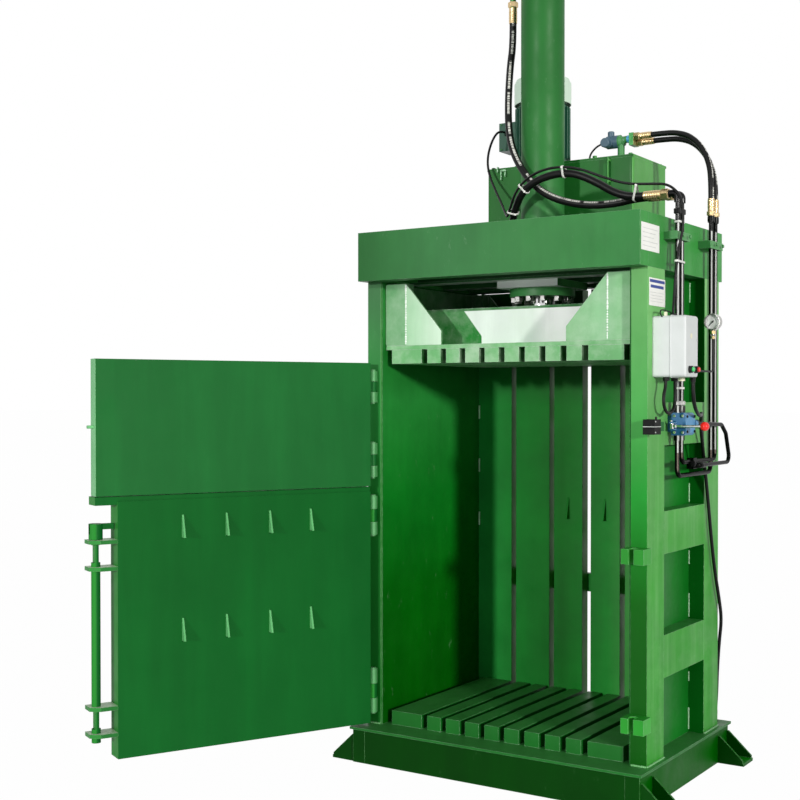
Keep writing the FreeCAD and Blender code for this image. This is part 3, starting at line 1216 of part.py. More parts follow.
CABLE_ROUTE = [(741, -229, 1564), (741, -229, 1512), (739, -199, 1468), (733, -150, 1444),
               (721, -92, 1440), (692, -8, 1453), (654, 84, 1400), (638, 168, 1262),
               (637, 214, 1110), (640, 240, 970), (640, 284, 815), (641, 340, 680),
               (635, 388, 590), (619, 404, 490), (610, 408, 370), (606, 412, 270),
               (594, 434, 206), (576, 490, 166), (550, 542, 116), (524, 588, 68),
               (512, 626, 55.75)]


def make_hoses():
    """Hydraulic hoses between the cylinder, the pipes and the tank, with their brass ends."""
    hose, return_hose = D["hose_radius"].value, D["return_hose_radius"].value
    node("upper_hose", tube_along("upper_hose_run", UPPER_HOSE, hose))
    node("lower_hose", tube_along("lower_hose_run", LOWER_HOSE, hose))
    node("return_hoses", grouped("return_hose_group", [
        tube_along(f"return_hose_{count}", route, return_hose)
        for count, route in enumerate(RETURN_HOSES, start=1)]))

    start_x = UPPER_HOSE[-1][0]
    ends = [cylinder(f"pressure_ferrule_{count}", D["ferrule_radius"],
                     D["pipe_x"] - D["elbow_reach"] - start_x,
                     (start_x, y, D["pipe_elbow_z"]), FACING_RIGHT)
            for count, y in enumerate((D["front_pipe_y"], D["front_pipe_2_y"]), start=1)]
    top, small = D["rear_pipe_top_z"], D["return_ferrule_radius"]
    elbow_x = D["filter_x"] + D["filter_outlet"]
    block_end = elbow_x + D["manifold_length"]
    for count, route in enumerate(RETURN_HOSES, start=1):
        x, y, z = route[0]
        ends.append(cylinder(f"filter_ferrule_{count}", small, x - block_end,
                             (block_end, y, z), FACING_RIGHT))
        x, y, z = route[-1]
        ends.append(cylinder(f"return_ferrule_{count}", small, z - top, (x, y, top)))
    wide, tall = D["manifold_width"], D["manifold_height"]
    ends.append(box("return_manifold", (D["manifold_length"], wide, tall),
                    (elbow_x, D["filter_y"] + 8 - wide / 2, D["filter_z"] + 2 - tall / 2)))

    x, y, z = UPPER_HOSE[0]
    ends.append(cylinder("cap_ferrule", D["ferrule_radius"], 82, (x, y, z)))
    room = cylinder("tube_room", D["tube_radius"], 2000, (0, 0, 1500))
    ends.append(port_elbow("cap_elbow", Vector(x, y, z + 82), Vector(0, 0, 1), 55, room))
    low = Vector(*LOWER_HOSE[0])
    ends.append(port_elbow("gland_elbow", low, low - Vector(*LOWER_HOSE[1]), 42, room))
    node("hose_fittings", grouped("fitting_group", ends))


def port_elbow(name, start, direction, run, room):
    """A bent port stub: on from a hose's end by a run, then in to the cylinder's side."""
    corner = start + direction.normalize() * run
    path, _ = bent_line([tuple(start), tuple(corner), (-86, corner.y, corner.z)], 24)
    stub = solid_feature(f"{name}_stub", sweep_round(path, start, direction, D["port_radius"].value))
    return less(name, stub, room)


def make_cables():
    """The motor cable and two short leads, and the supply cable with its coil and plug."""
    radius, length = D["cable_radius"].value, D["gland_length"]
    gland = turned("cable_gland", [(0, 0), (radius + 1, 0), (D["gland_top_radius"], length),
                                   (0, length)],
                   (D["gland_x"], D["gland_y"], D["box_bottom_z"] - length))
    node("leads", grouped("lead_group", [
        tube_along("motor_cable", MOTOR_CABLE, D["motor_lead_radius"].value),
        tube_along("control_lead", CONTROL_LEAD, D["control_lead_radius"].value),
        tube_along("filter_lead", FILTER_LEAD, D["filter_lead_radius"].value),
        gland,
    ]))
    node("supply_cable", tube_along("supply_cable_run", CABLE_ROUTE + [tuple(coil_point(0))], radius))
    node("cable_coil", solid_feature("cable_coil_run", coil_shape(radius)))
    end = coil_point(COIL_TURNS * 360)
    length = D["plug_length"].value
    plug = D["plug_radius"].value
    tail = 170
    lead = [(end.x - radius * 2, end.y, end.z), (end.x - 60, end.y, end.z),
            (end.x - 115, end.y, plug), (end.x - tail, end.y, plug)]
    node("cable_end", tube_along("cable_end_run", lead, radius))
    body = turned("plug_body", [(0, 0), (radius + 4, 0), (radius + 6, 26), (plug - 4, 44),
                                (plug - 4, 72), (plug, 74), (plug, length), (0, length)],
                  (end.x - tail, end.y, plug), Rotation(Vector(0, 1, 0), -90))
    node("cable_plug", body)


COIL_TURNS = 3.25


def coil_point(angle):
    """A point of the coil: it winds down from the top turn to the floor."""
    turn = math.radians(angle)
    drop = D["coil_pitch"].value * (COIL_TURNS - angle / 360)
    return Vector(D["coil_x"].value + D["coil_radius"].value * math.cos(turn),
                  D["coil_y"].value + D["coil_radius"].value * math.sin(turn),
                  D["cable_radius"].value + drop)


def coil_shape(radius):
    """The wound part of the cable, one unbroken tube."""
    steps = int(COIL_TURNS * 4)
    edges = []
    for step in range(steps):
        first, middle, last = (coil_point(90 * step + add) for add in (0, 45, 90))
        edges.append(Part.Arc(first, middle, last).toShape())
    tail = coil_point(COIL_TURNS * 360)
    edges.append(Part.LineSegment(tail, tail + Vector(-radius * 2, 0, 0)).toShape())
    path = Part.Wire(edges)
    print(f"cable_coil: length {path.Length:.0f}, gap between turns "
          f"{D['coil_pitch'].value - radius * 2:.1f}")
    return sweep_round(path, coil_point(0), Vector(0, 1, 0), radius)


# ---------------------------------------------------------------- build, check and write

def make_all():
    """Every sub-part, in the order in which the machine goes together."""
    make_base()
    make_walls()
    make_back_wall()
    make_top()
    make_press()
    make_cylinder()
    make_tank()
    make_motor()
    make_hinges()
    make_doors()
    make_lock()
    make_pipes()
    make_valve()
    make_controls()
    make_gauge()
    make_hoses()
    make_cables()


def check_all():
    """Stops on a failed object or an unsound shape."""
    doc.recompute()
    for thing in doc.Objects:
        if "Invalid" in thing.State or "Error" in thing.State:
            raise RuntimeError(f"{thing.Name} failed: {thing.State}")
    for label, thing in parts.items():
        if thing.Shape.isNull() or not thing.Shape.isValid():
            raise RuntimeError(f"{label} has no sound shape")


def write_all():
    """One file a sub-part."""
    os.makedirs("parts", exist_ok=True)
    for label, thing in parts.items():
        thing.Shape.exportStep(f"parts/{label}.step")
        print(f"{label}: {len(thing.Shape.Solids)} solids, {thing.Shape.Volume / 1e6:.2f} litres")
    print(f"{len(parts)} sub-parts")


make_all()
check_all()
write_all()
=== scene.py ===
import math
import random

import bmesh
import bpy
from mathutils import Euler, Matrix, Vector


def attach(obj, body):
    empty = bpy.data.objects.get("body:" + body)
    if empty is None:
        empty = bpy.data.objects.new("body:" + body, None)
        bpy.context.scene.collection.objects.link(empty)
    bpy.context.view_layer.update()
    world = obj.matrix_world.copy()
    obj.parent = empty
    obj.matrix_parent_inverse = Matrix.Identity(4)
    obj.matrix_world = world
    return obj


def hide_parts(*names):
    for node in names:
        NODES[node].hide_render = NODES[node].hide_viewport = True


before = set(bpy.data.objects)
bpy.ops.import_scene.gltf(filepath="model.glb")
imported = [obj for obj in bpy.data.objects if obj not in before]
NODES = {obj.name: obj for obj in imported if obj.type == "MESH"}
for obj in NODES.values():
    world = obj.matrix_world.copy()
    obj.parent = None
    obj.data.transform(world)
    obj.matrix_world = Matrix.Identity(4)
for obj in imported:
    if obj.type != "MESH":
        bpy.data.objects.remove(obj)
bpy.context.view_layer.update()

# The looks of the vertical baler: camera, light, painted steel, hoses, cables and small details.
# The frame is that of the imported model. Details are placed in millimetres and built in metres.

scene = bpy.context.scene
MM = 1000  # millimetres to the metre

# ---------- camera and light

PICTURE = 800
SENSOR = 36
FOCAL_PIXELS = 1299.68
HORIZON_SHIFT = 16.92
CAMERA_PLACE = Vector((2.4872, -4.8474, 1.5))
CAMERA_YAW = math.radians(33.4107)
CAMERA_PITCH = math.radians(0.7459)
FAR_CLIP = 400
WHITE = (1, 1, 1, 1)
FILL_COLOUR, FILL_STRENGTH = (0.95, 0.98, 1.0, 1), 0.3
FLOOR_HALF, FLOOR_WHITE = 150, 0.985


def make_camera():
    """A nearly level camera in front of the right corner, as the photograph has it."""
    lens = bpy.data.cameras.new("camera")
    lens.sensor_width = SENSOR
    lens.lens = SENSOR * FOCAL_PIXELS / PICTURE
    lens.shift_y = HORIZON_SHIFT / PICTURE
    lens.clip_end = FAR_CLIP
    camera = bpy.data.objects.new("camera", lens)
    turn = Euler((math.radians(90) - CAMERA_PITCH, 0, CAMERA_YAW)).to_matrix().to_4x4()
    camera.matrix_world = Matrix.Translation(CAMERA_PLACE) @ turn
    scene.collection.objects.link(camera)
    scene.camera = camera


def make_sun(name, direction, strength, angle, colour):
    """A far lamp whose light travels along a direction."""
    lamp = bpy.data.lights.new(name, "SUN")
    lamp.energy = strength
    lamp.angle = math.radians(angle)
    lamp.color = colour
    sun = bpy.data.objects.new(name, lamp)
    sun.rotation_mode = "QUATERNION"
    sun.rotation_quaternion = Vector(direction).to_track_quat("-Z", "Y")
    scene.collection.objects.link(sun)


class Nodes:
    """A tree of shader nodes that grows node by node."""

    def __init__(self, tree):
        self.tree = tree

    def add(self, kind, inputs=None, **settings):
        """A node with its settings, and its inputs linked or set."""
        node = self.tree.nodes.new(kind)
        for name, value in settings.items():
            setattr(node, name, value)
        for socket, value in (inputs or {}).items():
            self.feed(node.inputs[socket], value)
        return node

    def feed(self, socket, value):
        """Links a socket to another or sets its value, and leaves it alone for None."""
        if isinstance(value, bpy.types.NodeSocket):
            self.tree.links.new(value, socket)
        elif value is not None:
            socket.default_value = value

    def maths(self, kind, first, second=0.0):
        """One operation on one or two values."""
        return self.add("ShaderNodeMath", {0: first, 1: second}, operation=kind).outputs[0]

    def seen_white(self, lit, white, share):
        """A shader that rays from the camera, gloss and glass meet as white, and others as lit."""
        rays = self.add("ShaderNodeLightPath").outputs
        seen = rays["Is Camera Ray"]
        for ray in ("Is Glossy Ray", "Is Transmission Ray"):
            seen = self.maths("MAXIMUM", seen, rays[ray])
        factor = self.maths("MULTIPLY", seen, share)
        return self.add("ShaderNodeMixShader", {0: factor, 1: lit, 2: white}).outputs[0]


def make_light():
    """Two hard lamps, one from the front and one from the right, and an even fill."""
    make_sun("front", (0.11, 1.0, -0.12), strength=1.5, angle=3, colour=(1.0, 1.0, 0.98))
    make_sun("side", (-1.0, 0.53, -0.17), strength=2.2, angle=4, colour=(1.0, 0.98, 0.93))
    world = bpy.data.worlds.new("world")
    world.use_nodes = True
    scene.world = world
    world.node_tree.nodes.clear()
    nodes = Nodes(world.node_tree)
    fill = nodes.add("ShaderNodeBackground", {"Color": FILL_COLOUR, "Strength": FILL_STRENGTH})
    white = nodes.add("ShaderNodeBackground", {"Color": WHITE})
    nodes.add("ShaderNodeOutputWorld",
              {0: nodes.seen_white(fill.outputs[0], white.outputs[0], 1.0)})
    scene.view_settings.view_transform = "Standard"


# ---------- floor and finishes

HINGE = (-583, -397)
DOOR_ANGLE = math.radians(-116)
DOOR_RUN = (math.cos(DOOR_ANGLE), math.sin(DOOR_ANGLE), 0)
DOOR_DEPTH = (-math.sin(DOOR_ANGLE), math.cos(DOOR_ANGLE), 0)
SHARP = 0.0005  # metres that a change of tone takes at a plane
SCREEN_GAMMA = 2.2
BEVEL_SAMPLES = 4
EDGE_FULL, EDGE_NONE = 0.80, 0.99
FACING_NONE, FACING_FULL = 0.5, 0.75
STREAK_PALE, BLOT_PALE, PAINTED_GLARE_PALE = (168, 214, 158), (140, 196, 132), (214, 232, 212)
PIPE_HIGHLIGHT_WAY = (0.62, -0.78, 0)
WRAP_RATE = 900.0
LANE_EDGE = (0.055, 0.045)

# Each noise: scale, detail, roughness, stretch, and the least and greatest value that counts.
NOISES = {
    "streaks": (16, 7, 0.7, (1, 1, 0.05), 0.46, 0.70),
    "blots": (5, 7, 0.72, (1, 1, 1.6), 0.50, 0.70),
    "clouds": (2.3, 6, 0.6, (1, 1, 1), 0.3, 0.7),
    "runs": (9, 6, 0.6, (1, 1, 0.12), 0.45, 0.75),
    # The blots of pale painted glare.
    "painted_glare": (7, 8, 0.66, (1, 1, 1), 0.42, 0.68),
    "scuffs": (26, 10, 0.75, (1, 1, 0.5), 0.62, 0.72),
    "wear": (38, 3, 0.6, (1, 1, 1), 0.35, 0.6),
    "paint_gloss": (9, 6, 0.6, (1, 1, 1), 0.3, 0.7),
    "metal_gloss": (40, 4, 0.6, (1, 1, 1), 0.3, 0.7),
    "pipe_marks": (140, 5, 0.6, (1, 1, 0.08), 0.0, 1.0),
    "dust": (14, 6, 0.6, (1, 1, 1), 0.4, 0.75),
    "plastic_gloss": (22, 4, 0.6, (1, 1, 1), 0.3, 0.7),
}
# The dashes along a hose and their groups: scale, detail, least and greatest value that counts.
DASH_NOISES = ((210.0, 2.0, 0.44, 0.50), (15.0, 1.0, 0.42, 0.46))


class Finish(Nodes):
    """A procedural material whose textures read the object's own coordinates."""

    def __init__(self, name, roughness, metallic=0.0, specular=0.5):
        self.material = bpy.data.materials.new(name)
        self.material.use_nodes = True
        super().__init__(self.material.node_tree)
        self.shader = self.tree.nodes["Principled BSDF"]
        self.place = self.add("ShaderNodeTexCoord").outputs["Object"]
        self.coordinates = self.add("ShaderNodeSeparateXYZ", {0: self.place}).outputs
        for socket, value in (("Roughness", roughness), ("Metallic", metallic),
                              ("Specular IOR Level", specular)):
            self.shader.inputs[socket].default_value = value

    def noise(self, scale, detail, stretch=(1, 1, 1), rough=0.6):
        """Noise in metres, which can be stretched into streaks."""
        mapped = self.add("ShaderNodeMapping", {"Vector": self.place, "Scale": stretch})
        return self.add("ShaderNodeTexNoise", {
            "Vector": mapped.outputs[0], "Scale": scale, "Detail": detail, "Roughness": rough,
        }).outputs["Fac"]

    def texture(self, name, start, end):
        """One of the named noises, with its used part moved onto a range."""
        scale, detail, rough, stretch, low, high = NOISES[name]
        return self.span(self.noise(scale, detail, stretch, rough), low, high, start, end)

    def span(self, value, low, high, start=0.0, end=1.0):
        """One range of values moved onto another, and clamped."""
        return self.add("ShaderNodeMapRange", {
            "Value": value, "From Min": low, "From Max": high, "To Min": start, "To Max": end,
        }).outputs[0]

    def dot(self, first, second):
        """How far one vector lies along another."""
        return self.add("ShaderNodeVectorMath", {0: first, 1: second},
                        operation="DOT_PRODUCT").outputs["Value"]

    def mix(self, factor, first, second):
        """A blend of two colours."""
        return self.add("ShaderNodeMix", {0: factor, 6: first, 7: second},
                        data_type="RGBA").outputs[2]

    def scaled(self, colour, factor):
        """A colour made lighter or darker by a factor."""
        if not isinstance(colour, bpy.types.NodeSocket):
            colour = colour[:3]
        return self.add("ShaderNodeVectorMath", {0: colour, "Scale": factor},
                        operation="SCALE").outputs[0]

    def bump(self, height, distance, strength, normal=None):
        """A relief of the given depth in metres."""
        return self.add("ShaderNodeBump", {"Height": height, "Distance": distance,
                                           "Strength": strength, "Normal": normal}).outputs[0]

    def normal(self, kind="True Normal"):
        """The direction that the surface faces."""
        return self.add("ShaderNodeNewGeometry").outputs[kind]

    def soft_normal(self, radius):
        """Normals that round the edges by a radius in metres."""
        return self.add("ShaderNodeBevel", {"Radius": radius}, samples=BEVEL_SAMPLES).outputs[0]

    def edge_mask(self, soft):
        """A mask that is 1 where the rounded normals leave the true ones."""
        return self.span(self.dot(soft, self.normal()), EDGE_NONE, EDGE_FULL)

    def reach(self, axis):
        """How far a spot lies along a named axis or a direction, in metres."""
        return self.coordinates[axis] if isinstance(axis, str) else self.dot(self.place, axis)

    def facing(self, axis, sign=1):
        """A mask that is 1 on faces turned along an axis."""
        turned = self.add("ShaderNodeSeparateXYZ", {0: self.normal()}).outputs[axis]
        return self.span(self.maths("MULTIPLY", turned, sign), FACING_NONE, FACING_FULL)

    def tone(self, spec):
        """A plain colour, a ramp along an axis in mm, or two tones parted at a plane."""
        if isinstance(spec[0], (int, float)):
            return linear(spec)
        if spec[0] == "split":
            _, axis, low, high, below, above = spec
            part = self.span(self.reach(axis), low / MM, high / MM)
            return self.mix(part, self.tone(below), self.tone(above))
        axis, stops = spec
        low, high = stops[0][0], stops[-1][0]
        along = self.span(self.coordinates[axis], low / MM, high / MM)
        ramp = self.add("ShaderNodeValToRGB", {0: along})
        elements = ramp.color_ramp.elements
        elements[0].color = linear(stops[0][1])
        elements[1].color = linear(stops[-1][1])
        for place, colour in stops[1:-1]:
            elements.new((place - low) / (high - low)).color = linear(colour)
        return ramp.outputs["Color"]

    def done(self, colour, normal=None, roughness=None):
        """Ties the results to the shader."""
        for name, value in (("Base Color", colour), ("Normal", normal), ("Roughness", roughness)):
            self.feed(self.shader.inputs[name], value)
        return self.material


def make_floor():
    """A white floor that still takes a faint shadow."""
    half = FLOOR_HALF
    mesh = bpy.data.meshes.new("floor")
    mesh.from_pydata([(-half, -half, 0), (half, -half, 0), (half, half, 0), (-half, half, 0)], [],
                     [(0, 1, 2, 3)])
    floor = bpy.data.objects.new("floor", mesh)
    scene.collection.objects.link(floor)
    finish = Finish("floor_white", roughness=0.9, specular=0)
    glow = finish.add("ShaderNodeEmission").outputs[0]
    surface = finish.seen_white(finish.shader.outputs[0], glow, FLOOR_WHITE)
    finish.feed(finish.tree.nodes["Material Output"].inputs["Surface"], surface)
    mesh.materials.append(finish.done(WHITE))


def linear(colour):
    """A colour given in 0 to 255 as the screen shows it, for the shader."""
    return tuple((each / 255) ** SCREEN_GAMMA for each in colour) + (1.0,)


def tinted(colour, gain):
    """A shader's colour made lighter or darker."""
    return tuple(min(1.0, each * gain) for each in colour[:3]) + (1.0,)


def paint(name, front, side=None, top=None, left=None, roughness=0.42, specular=0.25, cloud=0.14,
          painted_glare=0.0, streak=0.0, edge=(150, 190, 155), edge_width=0.003, scuff=0.3, shade=None,
          past=None, ahead=None):
    """Sprayed gloss paint on steel: uneven cover, orange peel and pale scuffs, with painted light and
    shade: own tones on faces turned sideways, up, left or ahead, painted shade over a band of height, a
    tone past a plane, blots of pale painted glare, and pale edges of worn paint and painted highlight.
    """
    finish = Finish(name, roughness, specular=specular)
    tone = finish.tone(front)
    # Painted light and shade: faces turned left, up or ahead take their own lighter or darker tone.
    for spec, axis, sign in ((left, "X", -1), (top, "Z", 1), (ahead, "Y", -1)):
        if spec:
            tone = finish.mix(finish.facing(axis, sign), tone, finish.tone(spec))
    # Painted light and shade: faces turned to the right take the side tone, with pale streaks and
    # blots.
    if side:
        beside = finish.tone(side)
        if streak:
            beside = finish.mix(finish.texture("streaks", 0, streak), beside, linear(STREAK_PALE))
            beside = finish.mix(finish.texture("blots", 0, streak), beside, linear(BLOT_PALE))
        tone = finish.mix(finish.facing("X"), tone, beside)
    if past:
        way, reach, beyond = past
        start = (way[0] * HINGE[0] + way[1] * HINGE[1] + reach) / MM
        tone = finish.mix(finish.span(finish.reach(way), start, start + SHARP), tone,
                          linear(beyond))
    # Painted shade: the tone darkens by a factor over a band of height.
    if shade:
        low, high, factor = shade
        tone = finish.scaled(tone, finish.span(finish.coordinates["Z"], low / MM, high / MM,
                                               1.0, factor))
    clouds = finish.texture("clouds", 1 - cloud, 1 + cloud)
    tone = finish.scaled(tone, finish.maths("MULTIPLY", clouds, finish.texture("runs", 1.0, 1.18)))
    # Pale blots of painted glare.
    if painted_glare:
        tone = finish.mix(finish.texture("painted_glare", 0, painted_glare), tone, linear(PAINTED_GLARE_PALE))
    tone = finish.mix(finish.texture("scuffs", 0, scuff), tone, tinted(linear(edge), 0.8))
    # Pale edges: worn paint and a painted highlight where the edges round over.
    soft = finish.soft_normal(edge_width)
    rubbed_and_highlit = finish.maths("MULTIPLY", finish.edge_mask(soft), finish.texture("wear", 0.2, 0.8))
    tone = finish.mix(rubbed_and_highlit, tone, linear(edge))
    relief = finish.bump(finish.noise(16, 3), 0.0016, 0.35, soft)
    relief = finish.bump(finish.noise(420, 2), 0.0003, 0.25, relief)
    return finish.done(tone, relief, finish.texture("paint_gloss", roughness - 0.08, roughness + 0.14))


def metal(name, colour, roughness, grain=(1, 1, 1), metallic=1.0):
    """Bare or plated metal with fine working marks."""
    finish = Finish(name, roughness, metallic)
    marks = finish.noise(160, 5, grain)
    tone = finish.scaled(finish.tone(colour), finish.span(marks, 0.0, 1.0, 0.78, 1.15))
    relief = finish.bump(marks, 0.0002, 0.3, finish.soft_normal(0.0012))
    return finish.done(tone, relief, finish.texture("metal_gloss", roughness * 0.7, roughness * 1.4))


def pipe_with_painted_highlight(name, split, specular):
    """Plated pipe drawn dark as a painted reflection, with a painted highlight along its faces turned
    towards one direction, whose colour changes with height.
    """
    finish = Finish(name, 0.24, specular=specular)
    turned = finish.maths("ABSOLUTE", finish.dot(finish.normal("Normal"), PIPE_HIGHLIGHT_WAY))
    tone = finish.mix(finish.span(turned, 0.92, 0.98), linear((10, 12, 11)), finish.tone(split))
    return finish.done(finish.scaled(tone, finish.texture("pipe_marks", 0.8, 1.15)))


def plastic(name, colour, roughness, specular=0.5):
    """Moulded plastic with a fine grain and a little dust."""
    finish = Finish(name, roughness, specular=specular)
    tone = finish.scaled(finish.tone(colour), finish.texture("dust", 1.0, 0.93))
    relief = finish.bump(finish.noise(700, 2), 0.0002, 0.35, finish.soft_normal(0.002))
    return finish.done(tone, relief, finish.texture("plastic_gloss", roughness - 0.05, roughness + 0.1))


def rubber(name, marks=False):
    """Black rubber with a faint wrap, and on a hose a broken line of plain pale dashes."""
    finish = Finish(name, 0.42, specular=0.2)
    black = linear((14, 15, 15))
    run = finish.add("ShaderNodeUVMap", uv_map="along").outputs[0]
    along, round_it, _ = finish.add("ShaderNodeSeparateXYZ", {0: run}).outputs
    wrap = finish.maths("SINE", finish.maths("MULTIPLY", along, WRAP_RATE))
    tone = finish.mix(finish.noise(30, 5), tinted(black, 0.6), tinted(black, 1.9))
    if marks:
        lane = finish.maths("ABSOLUTE", finish.maths("SUBTRACT", round_it, 0.5))
        line = finish.add("ShaderNodeCombineXYZ", {0: along, 1: 0.0, 2: 0.0}).outputs[0]
        dashes, groups = (finish.span(finish.add("ShaderNodeTexNoise", {
            "Vector": line, "Scale": scale, "Detail": detail}).outputs["Fac"], low, high)
            for scale, detail, low, high in DASH_NOISES)
        ink = finish.maths("MULTIPLY", finish.maths("MULTIPLY", dashes, groups),
                           finish.span(lane, *LANE_EDGE))
        tone = finish.mix(ink, tone, linear((205, 205, 198)))
    return finish.done(tone, finish.bump(wrap, 0.0002, 0.25))


def glass(name):
    """Clear flat glass."""
    finish = Finish(name, 0.03)
    finish.shader.inputs["Alpha"].default_value = 0.02
    clear = linear((240, 244, 244))
    return finish.done(finish.mix(finish.noise(30, 3), clear, tinted(clear, 0.97)))


# Painted light and shade: the posts' fronts are lighter towards the top, and the left post is darker.
RIGHT_POST = ("Z", [
    (150, (2, 78, 3)), (500, (3, 82, 5)), (750, (8, 92, 11)), (1000, (22, 126, 34)),
    (1150, (36, 146, 50)), (1500, (80, 164, 82)), (1700, (92, 164, 90)), (1990, (108, 170, 102))])
LEFT_POST = ("Z", [
    (150, (22, 94, 32)), (1100, (28, 104, 40)), (1500, (42, 124, 56)), (1990, (70, 116, 76))])
# Painted light and shade: the side faces are lighter towards the top.
SIDE_TONE = ("Z", [
    (0, (40, 126, 32)), (450, (58, 146, 52)), (900, (64, 150, 57)), (1500, (100, 172, 94)),
    (2200, (134, 206, 124))])
# Painted shade on the faces in the recesses and inside the chamber.
RECESS_PAINTED_SHADE = (8, 92, 24)
# Painted light and shade on the chamber's left wall: darker towards the floor, with a darker band near
# its top.
LEFT_WALL = ("Z", [
    (200, (4, 86, 6)), (700, (6, 96, 16)), (1100, (18, 116, 34)), (1500, (40, 126, 54)),
    (1700, (30, 104, 40)), (1820, (44, 124, 54))])
# Painted light and shade in the side recess: lighter at its front, darker towards the back.
RECESS_WALL = ("Y", [
    (-320, (110, 150, 96)), (-160, (66, 124, 72)), (60, (22, 110, 34)), (330, (16, 104, 30))])
# Painted light and shade on the back wall: darkest left of the middle, lightest at the right.
BACK_WALL = ("X", [
    (-550, (34, 142, 58)), (-330, (20, 120, 40)), (-120, (10, 98, 26)), (100, (28, 128, 44)),
    (350, (84, 144, 78)), (550, (108, 158, 94))])
BEAM_FRONT = ("X", [
    (-620, (38, 96, 46)), (-200, (56, 114, 65)), (200, (54, 116, 62)), (620, (48, 121, 59))])
# Painted shade: the tank's front darkens towards the right.
TANK_FRONT = ("X", [(-340, (36, 108, 42)), (60, (34, 106, 42)), (345, (26, 90, 34))])
CYLINDER_TONE = ("Z", [(2150, (64, 128, 72)), (2450, (42, 108, 50)), (3290, (34, 98, 42))])
# Painted shadow: the left gusset's shadow on the press beam, parted along the line of its slanted edge.
PRESS_SHADE = (30, 118, 44)
# Painted glare: the press beam is pale, whiter towards the right.
PRESS_BEAM = ("X", [
    (-170, (222, 234, 226)), (60, (222, 234, 226)), (130, (250, 252, 250)), (300, (250, 252, 250))])
# Painted glare and shade on the press's front plates, palest left of the middle.
PRESS_SIDE = ("X", [
    (-560, (92, 150, 98)), (-455, (104, 160, 110)), (-445, (156, 200, 160)), (-290, (200, 226, 202)),
    (280, (120, 176, 122)), (440, (138, 188, 142)), (560, (110, 172, 112))])
PRESS_FACE = ("split", (1, 0, 0.79), 1218, 1222,
              ("split", "X", -174, -170, PRESS_SHADE, PRESS_BEAM), PRESS_BEAM)
PRESS_FRONT = ("split", "Y", -250, -240, PRESS_SIDE,
               ("split", "Z", 1866, 1868, PRESS_FACE, (34, 104, 46)))
# Painted highlight colours of the pipes: tan low down, pale in the middle, black up high; the return
# loop's highlight is black past one plane.
PIPE_HIGHLIGHT_TONE = (
    "split", "Z", 1300, 1302, (120, 108, 100),
    ("split", "Z", 2172, 2176, (206, 208, 206), (36, 37, 38)))
LOOP_HIGHLIGHT_TONE = ("split", "X", 678, 681, PIPE_HIGHLIGHT_TONE, (22, 24, 20))
FILTER_TONE = ("split", "X", 226, 228, (66, 90, 106), (62, 128, 70))


